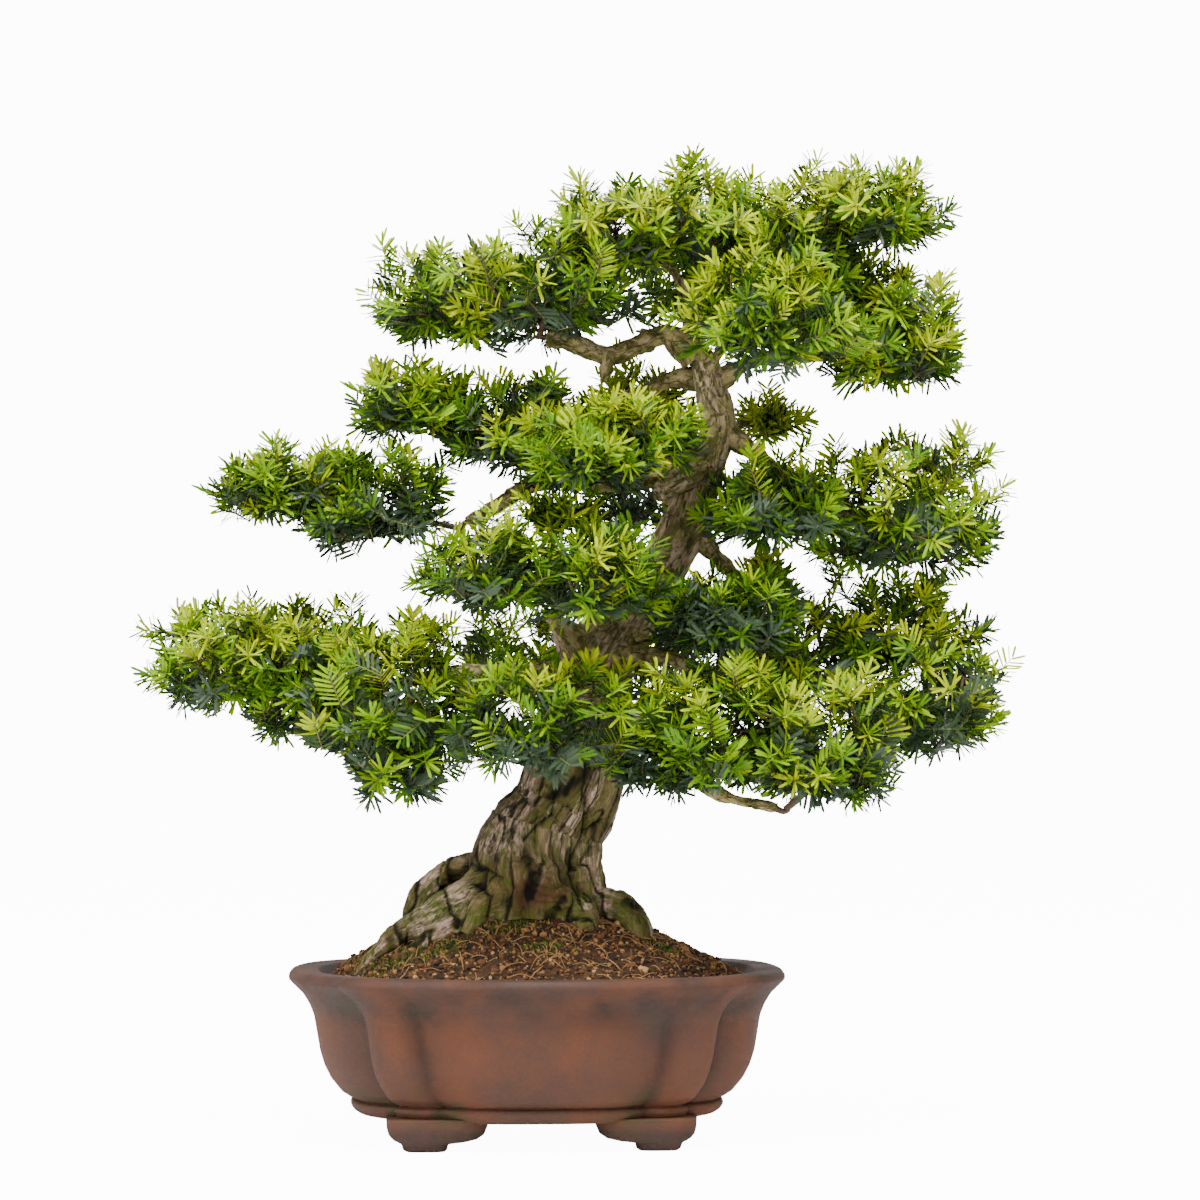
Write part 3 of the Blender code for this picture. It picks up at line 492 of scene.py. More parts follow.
@dataclass(frozen=True)
class BarkFinish:
    """Flaking bark: brown plates, pale bared wood, an olive film of algae, dark cracks and moss; painted
    shade darkens creases, hollows and the feet of flake steps, and a pale tan is painted as light on the
    upper trunk and the boughs.
    """

    dark: Colour = (0.045, 0.030, 0.009)
    tan: Colour = (0.380, 0.285, 0.130)
    film: Colour = (0.092, 0.098, 0.010)
    inner: Colour = (0.780, 0.590, 0.420)
    lilac: Colour = (0.690, 0.440, 0.370)
    crack_and_shade: Colour = (0.007, 0.004, 0.002)
    moss: Colour = (0.085, 0.120, 0.009)
    cut: Colour = (0.115, 0.042, 0.020)
    painted_light: Colour = (0.620, 0.510, 0.180)

    def build(self, mottle: bpy.types.NodeTree) -> bpy.types.Material:
        """Return the material; it reads the piece's grain and its masks."""
        sheet, shader, material = new_material("yew_bark")
        grain = sheet.stretch(sheet.attribute("grain", "Vector"), (1.0, 1.0, 0.3))
        base = sheet.group(mottle, Place=grain, Blotch_Scale=0.07, Grain_Scale=0.9,
                           Low_Colour=self.dark, High_Colour=self.tan)
        fine = sheet.noise(grain, 0.45, 6.0, 0.7)
        # The pale olive tan laid by its mask is painted light, on the upper trunk and the boughs that lie in
        # the crown's shade.
        painted_light_share = sheet.work("MULTIPLY", sheet.attribute("painted_light"), sheet.span(fine, 0.25, 0.60, 0.35))
        colour = sheet.mix(painted_light_share, base.outputs["Colour"], self.painted_light)
        pale = sheet.mix(sheet.span(sheet.noise(grain, 0.05, 2.0), 0.4, 0.6), self.inner, self.lilac)
        bare = sheet.work("MULTIPLY", sheet.attribute("bare"), sheet.span(fine, 0.66, 0.40))
        colour = sheet.mix(bare, colour, pale)
        streak = sheet.span(sheet.noise(grain, 0.14, 6.0, 0.7), 0.45, 0.58, 0.0, 0.80)
        along = sheet.work("MULTIPLY", sheet.attribute("algae"), sheet.span(fine, 0.35, 0.6))
        colour = sheet.mix(sheet.work("MAXIMUM", streak, along), colour, self.film)
        colour = sheet.mix(sheet.span(fine, 0.54, 0.70, 0.0, 0.7), colour, self.dark)
        colour = sheet.mix(sheet.attribute("cut"), colour, self.cut)
        patches = sheet.span(sheet.noise(grain, 0.35, 5.0, 0.7), 0.40, 0.58)
        mossy = sheet.work("MULTIPLY", sheet.attribute("moss"), patches)
        colour = sheet.mix(mossy, colour, self.moss)
        place = sheet.warp(sheet.stretch(sheet.attribute("grain", "Vector"), (1.0, 1.0, 0.6)), 0.16, 5.0)
        line = sheet.span(sheet.cells(place, 0.075), 0.036, 0.0)
        broken = sheet.span(sheet.noise(grain, 0.06, 3.0), 0.40, 0.50)
        net = sheet.work("MULTIPLY", sheet.work("MULTIPLY", line, broken), sheet.attribute("net"))
        # The dark mask: real cracks, with painted shade in creases, the hollow and under flake steps.
        dark = sheet.work("MAXIMUM", sheet.attribute("crack_and_shade"), net)
        colour = sheet.mix(dark, colour, self.crack_and_shade)
        sheet.feed(shader.inputs["Base Color"], colour)
        sheet.feed(shader.inputs["Roughness"], sheet.span(fine, 0.3, 0.7, 0.72, 0.95))
        height = sheet.work("SUBTRACT", fine, net)
        sheet.feed(shader.inputs["Normal"], sheet.bump(height, 0.0014, 0.8))
        shader.inputs["Specular IOR Level"].default_value = 0.2
        return material


@dataclass(frozen=True)
class EarthFinish:
    """Dark damp soil between the granules."""

    low: Colour = (0.018, 0.008, 0.003)
    high: Colour = (0.105, 0.046, 0.014)

    def build(self, mottle: bpy.types.NodeTree) -> bpy.types.Material:
        """Return the material."""
        sheet, shader, material = new_material("damp_soil")
        place = sheet.place()
        base = sheet.group(mottle, Place=place, Blotch_Scale=90.0, Grain_Scale=700.0,
                           Low_Colour=self.low, High_Colour=self.high)
        sheet.feed(shader.inputs["Base Color"], base.outputs["Colour"])
        shader.inputs["Roughness"].default_value = 0.95
        sheet.feed(shader.inputs["Normal"], sheet.bump(base.outputs["Grain"], 0.002, 0.8))
        return material


class Tone(Enum):
    """How old a needle is and how much painted light or shade it carries, with the colour for each: the tones
    go brighter with new growth and painted light, darker with age and painted shade.
    """

    FRESH = PlainFinish("needles_fresh", (0.460, 0.560, 0.004), 0.50, 0.12)
    YOUNG = PlainFinish("needles_young", (0.250, 0.430, 0.003), 0.50, 0.12)
    GROWN = PlainFinish("needles_grown", (0.100, 0.235, 0.004), 0.48, 0.18)
    OLD = PlainFinish("needles_old", (0.036, 0.078, 0.010), 0.42, 0.32)
    SHADED = PlainFinish("needles_shaded", (0.042, 0.074, 0.034), 0.42, 0.38)


# The plan of the plant


@dataclass(frozen=True)
class Limb:
    """One bough: its name, its route and its radii."""

    name: str
    route: tuple[Colour, ...]
    root_radius: float
    tip_radius: float

    def line(self, spacing: float) -> Array:
        """Return readings along the bough as x, y, z and radius."""
        places = smooth_route(np.array(self.route, float), spacing)
        share = np.linspace(0.0, 1.0, len(places))
        radius = self.root_radius + (self.tip_radius - self.root_radius) * share**0.7
        return np.column_stack([places, radius])


@dataclass(frozen=True)
class Clump:
    """One lens-shaped pad of foliage: its middle, half sizes, number of sprays and extra light, a painted
    light or shade that makes its needles brighter or darker.
    """

    centre: Colour
    half: Colour
    sprays: int
    light: float = 0.0

    def level(self) -> Array:
        """Return the middle of the lens's widest level."""
        upper = 2.0 * self.half[2] / (1.0 + UNDERSIDE_SHARE)
        return np.array(self.centre) + UP * (self.half[2] - upper)

    def reach(self, directions: Array) -> Array:
        """Return the lens's points in directions, its dome deeper than its underside.

        The rim is lobed: the reach is times 1 + 0.08 sin(3a + p) + 0.06 sin(5a + 2p + 3h) at the
        bearing a and height h, where p comes from where the lens stands. The lens is fuller than
        an ellipsoid: the reach is also divided by the norm of power 2.6 of the direction.
        """
        depth = 2.0 * self.half[2] / (1.0 + UNDERSIDE_SHARE)
        depths = np.where(directions[:, 2] < 0.0, depth * UNDERSIDE_SHARE, depth)
        offset = np.column_stack([directions[:, 0] * self.half[0], directions[:, 1] * self.half[1],
                                  directions[:, 2] * depths])
        bearing = np.arctan2(directions[:, 1], directions[:, 0])
        phase = self.centre[0] * 0.13
        lobes = 1.0 + 0.08 * np.sin(3.0 * bearing + phase)
        lobes += 0.06 * np.sin(5.0 * bearing + 2.0 * phase + 3.0 * directions[:, 2])
        lobes *= np.sum(np.abs(directions) ** LENS_POWER, axis=1) ** (-1.0 / LENS_POWER)
        return self.level() + offset * lobes[:, None]


@dataclass(frozen=True)
class Mass:
    """One mass of foliage, grown on from a bough's tip through its clumps."""

    name: str
    limb: str
    seed: int
    clumps: tuple[Clump, ...]


UNDERSIDE_SHARE = 0.55
LENS_POWER = 2.6

TRUNK = (
    (-40, 2, 185, 62), (-40, 2, 204, 59), (-40, 1, 232, 57), (-37, 0, 250, 49), (-21, -2, 272, 44),
    (-6, -2, 310, 43.5), (4, 0, 350, 38), (12, 4, 399, 33), (26, 6, 422, 30), (40, 8, 443, 26),
    (58, 8, 470, 22.5), (74, 8, 491, 21), (91, 6, 523, 21), (98, 2, 551, 18), (116, 0, 599, 15.5),
    (111, 0, 631, 15), (105, 0, 655, 13), (94, 0, 680, 8), (96, 2, 713, 5.5), (109, 5, 738, 4.8),
    (105, 8, 768, 3.4),
)

# Roots: x, y, rise of the middle over the soil, radius
ROOTS = (
    ((-62, -16, 30, 20), (-88, -24, 23, 17), (-108, -32, 16, 15), (-132, -42, 10, 13),
     (-152, -46, 8, 12), (-168, -50, 4, 8), (-190, -56, -6, 5)),
    ((-72, 12, 30, 20), (-98, 12, 36, 15), (-118, 10, 35, 13.5), (-132, 8, 25, 12.5),
     (-139, 4, 10, 12), (-143, 0, -8, 11)),
    ((-92, 24, 12, 15), (-120, 20, 8, 12), (-134, 12, 0, 9)),
    ((-90, -46, 5, 9), (-122, -60, 1, 10), (-148, -68, -6, 6)),
    ((-60, -28, 14, 20), (-84, -50, 9, 15), (-98, -66, -5, 9)),
    ((-14, -26, 8, 20), (0, -44, 2, 16), (6, -56, -8, 10)),
    ((-10, -8, 8, 20), (14, -12, 7, 15.5), (32, -17, 12, 14), (43, -24, 7, 14.5), (48, -32, -3, 13.5),
     (51, -37, -12, 10)),
    ((-58, 32, 12, 20), (-80, 62, 4, 15), (-104, 90, -6, 8)),
    ((-18, 34, 12, 19), (8, 62, 4, 14), (34, 88, -6, 8)),
)

# A dead stub, a sawn stump, a pruned knob and a fold: x, y, height, radius
GROWTHS = (
    ((6, -4, 398, 24), (-12, -8, 424, 15), (-29, -10, 441, 3)),
    ((102, -6, 568, 13), (84, -22, 557, 11), (66, -38, 547, 9.5)),
    ((-22, -26, 206, 13), (-16, -46, 205, 11), (-15, -58, 204, 8)),
    ((-2, -10, 268, 8), (9, -12, 244, 11), (6, -12, 220, 11)),
)

LIMBS = (
    Limb("crown_left_bough", ((96, 2, 711), (77, 4, 737), (58, 4, 750)), 5.0, 3.4),
    Limb("crown_right_bough", ((98, 2, 718), (128, 4, 735), (152, 4, 744)), 5.5, 3.8),
    Limb("crown_back_bough", ((97, 0, 690), (103, 40, 712), (112, 74, 730)), 5.0, 3.4),
    Limb("crown_front_bough", ((107, 0, 650), (116, -30, 664), (130, -54, 674)), 6.0, 4.0),
    Limb("crown_far_right_bough", ((109, 0, 636), (143, 4, 658), (186, 6, 664), (228, 4, 666)), 8.0, 4.4),
    Limb("left_upper_bough", ((96, 0, 664), (73, -4, 681), (50, -8, 674), (22, -10, 664), (-6, -8, 674),
                              (-30, -6, 678)), 11.5, 7.5),
    Limb("left_second_bough", ((106, 4, 642), (82, 12, 646), (50, 18, 634), (29, 18, 623), (-6, 14, 606),
                               (-30, 10, 597)), 9.5, 6.0),
    Limb("inner_left_bough", ((108, 0, 583), (84, -42, 577), (66, -66, 574)), 7.0, 4.6),
    Limb("back_right_bough", ((114, 2, 604), (128, 34, 606), (140, 56, 611)), 6.0, 3.6),
    Limb("left_middle_bough", ((104, 4, 579), (76, -2, 566), (33, -18, 556), (-14, -20, 558),
                               (-46, -14, 552), (-72, -8, 536), (-97, -6, 520)), 10.0, 7.0),
    Limb("right_upper_bough", ((112, 0, 602), (138, -4, 587), (156, -6, 572), (180, -4, 552),
                               (204, -2, 536)), 10.0, 6.0),
    Limb("back_middle_bough", ((90, 4, 528), (76, 42, 542), (66, 66, 550)), 7.0, 4.4),
    Limb("right_lower_bough", ((91, 4, 520), (118, 6, 489), (137, 8, 470), (166, 16, 458),
                               (196, 24, 449)), 9.5, 5.2),
    Limb("centre_right_bough", ((24, 4, 424), (58, -36, 421), (84, -54, 427)), 6.5, 4.2),
    Limb("centre_front_bough", ((26, 2, 426), (12, -42, 444), (-4, -66, 452), (-24, -86, 456)), 7.0, 4.6),
    Limb("right_inner_bough", ((20, 4, 402), (49, -40, 408), (79, -60, 404), (98, -76, 392)), 10.0, 6.0),
    Limb("right_outer_bough", ((6, 0, 345), (44, -42, 334), (84, -64, 318), (102, -78, 300),
                               (132, -86, 287), (163, -92, 282)), 8.0, 5.4),
    Limb("low_left_bough", ((8, 2, 386), (-29, -8, 396), (-69, -12, 396), (-115, -14, 393),
                            (-154, -14, 386), (-206, -12, 387)), 8.0, 4.8),
    Limb("low_left_front_bough", ((-98, -13, 395), (-116, -32, 385), (-134, -48, 377)), 5.5, 4.0),
    Limb("low_centre_bough", ((0, 0, 352), (-8, -60, 365), (-12, -84, 371)), 7.0, 4.4),
    Limb("back_low_bough", ((12, 4, 380), (18, 66, 398), (22, 92, 408)), 9.0, 5.6),
)

# A clump's fourth number is its painted light: it makes the clump's needles brighter, or darker as painted
# shade.
MASSES = (
    Mass("crown_left", "crown_left_bough", 11,
         (Clump((30, -15, 773), (54, 98, 48), 5), Clump((102, -2, 784), (54, 92, 42), 4))),
    Mass("crown_right", "crown_right_bough", 12,
         (Clump((184, 0, 767), (58, 104, 52), 6), Clump((250, -5, 790), (54, 84, 42), 5))),
    Mass("crown_back", "crown_back_bough", 13, (Clump((131, 132, 754), (100, 66, 56), 5),)),
    Mass("crown_front", "crown_front_bough", 14, (Clump((154, -100, 694), (80, 76, 50), 6),)),
    Mass("crown_far_right", "crown_far_right_bough", 15,
         (Clump((264, 0, 686), (60, 92, 54), 6), Clump((222, 6, 720), (50, 70, 42), 3))),
    Mass("left_upper", "left_upper_bough", 16,
         (Clump((-28, -16, 728), (80, 104, 58), 6, -0.06), Clump((-118, 0, 716), (62, 90, 49), 5))),
    Mass("left_second", "left_second_bough", 17,
         (Clump((-58, 4, 609), (68, 84, 47), 5, -0.10), Clump((-143, 8, 626), (54, 78, 33), 5))),
    Mass("inner_left", "inner_left_bough", 18,
         (Clump((6, -120, 578), (64, 62, 42), 6), Clump((62, -92, 594), (36, 54, 26), 3))),
    Mass("back_right", "back_right_bough", 19, (Clump((160, 84, 618), (24, 38, 26), 2, 0.28),)),
    Mass("left_middle", "left_middle_bough", 20,
         (Clump((-176, 0, 544), (68, 90, 48), 5, -0.12), Clump((-254, -8, 554), (62, 72, 31), 5))),
    Mass("right_upper", "right_upper_bough", 21,
         (Clump((160, -52, 538), (66, 74, 42), 5, -0.08), Clump((274, 4, 540), (90, 102, 70), 7))),
    Mass("back_middle", "back_middle_bough", 22,
         (Clump((62, 134, 560), (70, 68, 62), 3), Clump((50, 84, 634), (50, 46, 34), 3, 0.12))),
    Mass("right_lower", "right_lower_bough", 23,
         (Clump((268, 50, 436), (70, 96, 50), 4), Clump((300, 20, 377), (64, 106, 60), 6),
          Clump((192, 20, 414), (54, 84, 44), 3), Clump((162, 60, 481), (24, 36, 27), 2, 0.12))),
    Mass("centre_right", "centre_right_bough", 24, (Clump((116, -92, 442), (64, 64, 37), 6, -0.22),)),
    Mass("centre_front", "centre_front_bough", 25,
         (Clump((14, -145, 474), (60, 62, 43), 5, -0.08), Clump((-72, -138, 482), (58, 68, 41), 4),
          Clump((-22, -96, 528), (28, 36, 26), 2, 0.10))),
    Mass("right_inner", "right_inner_bough", 26,
         (Clump((118, -124, 348), (68, 72, 60), 6), Clump((62, -112, 331), (46, 48, 44), 3, -0.12))),
    Mass("right_outer", "right_outer_bough", 27, (Clump((198, -108, 343), (68, 80, 68), 6, 0.05),)),
    Mass("low_left_outer", "low_left_bough", 28,
         (Clump((-291, -5, 412), (78, 104, 53), 6, 0.06), Clump((-224, -4, 397), (74, 92, 66), 5, 0.06))),
    Mass("low_left_inner", "low_left_front_bough", 29,
         (Clump((-163, -78, 383), (82, 92, 77), 6), Clump((-151, -92, 326), (49, 64, 39), 3, -0.08))),
    Mass("low_centre", "low_centre_bough", 30, (Clump((-35, -144, 361), (88, 62, 54), 5, -0.06),)),
    Mass("back_low", "back_low_bough", 31,
         (Clump((90, 137, 414), (92, 66, 66), 4), Clump((-52, 137, 410), (74, 66, 56), 3))),
)


# Pot


@dataclass
class Pot:
    """The eight-lobed oblong pot on its four cloud feet."""

    centre_x: float = -38.0
    yaw: float = math.radians(3.6)
    squareness: float = 2.6
    grooves: tuple[float, float] = (40.2, 61.4)
    groove_depth: float = 10.5
    sides: int = 512
    foot_sides: int = 48
    outside: tuple = ((144.0, 23.2, 0.79, 0.8), (150.5, 24.6, 0.79, 0.8), (155.0, 27.6, 0.79, 0.8),
                      (157.5, 31.5, 0.79, 0.8), (156.5, 35.0, 0.79, 0.8), (152.0, 36.4, 0.79, 0.95),
                      (157.5, 38.0, 0.79, 1.05), (165.5, 43.0, 0.79, 1.05), (174.5, 54.0, 0.79, 1.05),
                      (180.0, 65.0, 0.79, 1.05), (183.6, 77.0, 0.79, 1.05), (186.2, 92.0, 0.79, 1.0),
                      (188.6, 106.0, 0.79, 0.95), (192.5, 116.0, 0.795, 0.85), (198.0, 125.0, 0.80, 0.6),
                      (205.0, 132.0, 0.81, 0.4), (209.6, 136.5, 0.81, 0.3), (209.8, 139.5, 0.81, 0.3),
                      (207.0, 143.4, 0.81, 0.3), (203.0, 144.9, 0.81, 0.3))
    inside: tuple = ((184.0, 144.0, 0.80, 0.3), (177.0, 133.0, 0.79, 0.4), (169.0, 92.0, 0.78, 0.6))
    feet: tuple = ((0.0, (80.0, 112.0), (80.0, 105.0)), (1.5, (78.0, 114.5), (78.0, 107.0)),
                   (6.0, (77.0, 116.0), (77.0, 109.5)), (7.0, (72.0, 117.5), (74.0, 110.5)),
                   (8.0, (62.0, 120.0), (69.0, 111.5)), (10.0, (53.0, 123.5), (63.0, 113.0)),
                   (13.5, (47.5, 126.5), (60.0, 114.0)), (19.0, (45.0, 128.0), (58.5, 115.0)),
                   (27.0, (43.0, 128.5), (57.5, 115.0)))

    def groove_share(self, angle: Array) -> Array:
        """Return how much of a groove's depth each angle has: (1 - sin(pi s))^1.6 over a lobe."""
        inner, outer = self.grooves
        bounds = np.radians([-inner, inner, outer, 180 - outer, 180 - inner, 180 + inner,
                             180 + outer, 360 - outer, 360 - inner])
        turned = np.where(angle > bounds[-1], angle - 2 * np.pi, angle)
        lobe = np.clip(np.searchsorted(bounds, turned, side="right") - 1, 0, 7)
        share = (turned - bounds[lobe]) / (bounds[lobe + 1] - bounds[lobe])
        return (1.0 - np.sin(np.pi * np.clip(share, 0.0, 1.0))) ** 1.6

    def outline(self, levels: Array) -> Array:
        """Return the lobed outline of each level, as (levels, sides, 3) about the pot's middle.

        Args:
            levels: Half width, height, depth over width and share of the groove, one level a row.
        """
        angle = 2.0 * np.pi * np.arange(self.sides) / self.sides
        power = 2.0 / self.squareness
        cosine, sine = np.cos(angle), np.sin(angle)
        x = np.sign(cosine) * np.abs(cosine) ** power * levels[:, :1]
        y = np.sign(sine) * np.abs(sine) ** power * levels[:, :1] * levels[:, 2:3]
        reach = np.hypot(x, y)
        scale = (reach - self.groove_depth * levels[:, 3:4] * self.groove_share(angle)) / reach
        height = np.broadcast_to(levels[:, 1:2], x.shape)
        return np.stack([x * scale, y * scale, height], axis=2)

    def place(self, points: Array) -> Array:
        """Return points turned and moved to where the pot stands."""
        cosine, sine = math.cos(self.yaw), math.sin(self.yaw)
        turned = points @ np.array([[cosine, sine, 0.0], [-sine, cosine, 0.0], [0.0, 0.0, 1.0]])
        return turned + np.array([self.centre_x, 0.0, 0.0])

    def profile(self) -> Array:
        """Return the wall's levels from the base round the rim to the inside, corners eased."""
        rows = np.array([(90.0, 23.0, 0.79, 0.4), (138.0, 23.0, 0.79, 0.7)] + list(self.outside)
                        + list(self.inside))
        for _ in range(2):
            early, late = rows[:-1], rows[1:]
            reach = np.linalg.norm(late[:, :2] - early[:, :2], axis=1, keepdims=True)
            cut = np.minimum(0.25, 0.9 / reach)
            rows = np.stack([early + (late - early) * cut, late + (early - late) * cut], axis=1)
            rows = rows.reshape(-1, 4)
        pieces = []
        for early, late in zip(rows, rows[1:]):
            steps = max(1, round(float(np.hypot(*(late - early)[:2])) / 5.0))
            pieces.append(early + (late - early) * (np.arange(steps) / steps)[:, None])
        return np.vstack(pieces + [rows[-1:]])

    def build(self, material: bpy.types.Material) -> None:
        """Make the pot and dress it."""
        levels = self.profile()
        rings = self.outline(levels)
        wobble = noise(rings.reshape(-1, 3) / 38.0, 5).reshape(rings.shape[:2]) * 0.5
        rings[..., :2] *= 1.0 + (wobble / 190.0)[..., None]
        surface = Surface()
        flat = self.place(rings.reshape(-1, 3))
        middle = self.place(np.array([[0.0, 0.0, levels[0, 1]], [0.0, 0.0, levels[-1, 1]]]))
        sides = np.arange(self.sides)
        after = (sides + 1) % self.sides
        last = len(flat) - self.sides
        base = np.column_stack([np.full(self.sides, len(flat)), after, sides])
        floor = np.column_stack([np.full(self.sides, len(flat) + 1), last + sides, last + after])
        surface.add(np.vstack([flat, middle]), grid_faces(len(levels), self.sides, True), base, floor)
        for side_x in (-1, 1):
            for side_y in (-1, 1):
                self.add_foot(surface, side_x, side_y)
        item = surface.piece("pot_of_clay")
        self.mark(item)
        show(item, material, ["pot"])

    def add_foot(self, surface: Surface, side_x: int, side_y: int) -> None:
        """Add one foot: rounded oblongs by height, |cos|^0.6 across and |sin|^0.6 in depth."""
        rows = np.array([(height, *across, *depth) for height, across, depth in self.feet])
        heights = np.linspace(0.0, 1.0, 41)
        knots = np.linspace(0.0, 1.0, len(rows))
        levels = np.column_stack([np.interp(heights, knots, rows[:, k]) for k in range(5)])
        angle = 2.0 * np.pi * (np.arange(self.foot_sides) + 0.5) / self.foot_sides
        along = 0.5 * (1.0 + np.sign(np.cos(angle)) * np.abs(np.cos(angle)) ** 0.6)
        deep = 0.5 * (1.0 + np.sign(np.sin(angle)) * np.abs(np.sin(angle)) ** 0.6)
        x = levels[:, 1:2] + (levels[:, 2:3] - levels[:, 1:2]) * along
        y = levels[:, 3:4] + (levels[:, 4:5] - levels[:, 3:4]) * deep
        z = np.broadcast_to(levels[:, :1], x.shape)
        points = np.stack([x * side_x, y * side_y, z], axis=2).reshape(-1, 3)
        middles = np.array([points[:self.foot_sides].mean(axis=0), points[-self.foot_sides:].mean(axis=0)])
        sides = np.arange(self.foot_sides)
        after = (sides + 1) % self.foot_sides
        last = len(points) - self.foot_sides
        base = np.column_stack([np.full(self.foot_sides, len(points)), after, sides])
        top = np.column_stack([np.full(self.foot_sides, len(points) + 1), last + sides, last + after])
        faces = [grid_faces(len(levels), self.foot_sides, True), base, top]
        if side_x * side_y < 0:
            faces = [block[:, ::-1] for block in faces]
        surface.add(self.place(np.vstack([points, middles])), *faces)

    def mark(self, item: bpy.types.Object) -> None:
        """Write as attributes where the clay is darker, in a band at the rim and as painted shade in its
        grooves and on its feet, and where it is damp.
        """
        points = read_points(item)
        height = points[:, 2]
        cosine, sine = math.cos(self.yaw), math.sin(self.yaw)
        local = (points[:, :2] - np.array([self.centre_x, 0.0])) @ np.array([[cosine, -sine], [sine, cosine]])
        local[:, 1] /= 0.79
        shares = np.sign(local) * np.abs(local) ** (self.squareness / 2.0)
        groove = self.groove_share(np.mod(np.arctan2(shares[:, 1], shares[:, 0]), 2 * np.pi))
        groove *= ease(20.0, 30.0, height) * (1.0 - ease(118.0, 136.0, height))
        band = ease(96.0, 122.0, height)
        band *= 0.62 + 0.38 * noise(points / 21.0, 3)
        foot = 1.0 - ease(10.0, 27.0, height)
        # Darker in the grooves and on the feet under the body as painted shade, and in the band from under
        # the rim over the rim.
        write_field(item, "smoke", np.clip(band + 1.2 * foot + 0.85 * groove**1.4, 0.0, 1.0))
        low = (1.0 - ease(26.0, 66.0, height)) * (0.25 + 1.1 * groove)
        write_field(item, "damp", np.clip(low + 0.3 * groove * ease(90.0, 120.0, height), 0.0, 1.0))


def read_points(item: bpy.types.Object) -> Array:
    """Return an object's points in millimetres."""
    values = np.empty(len(item.data.vertices) * 3, np.float32)
    item.data.vertices.foreach_get("co", values)
    return values.reshape(-1, 3).astype(float) / MM


def write_field(item: bpy.types.Object, name: str, values: Array) -> None:
    """Write one number, or one vector, for each point of an object."""
    kind = "FLOAT" if values.ndim == 1 else "FLOAT_VECTOR"
    made = item.data.attributes.new(name, kind, "POINT")
    made.data.foreach_set("value" if values.ndim == 1 else "vector", values.astype(np.float32).ravel())


# Soil


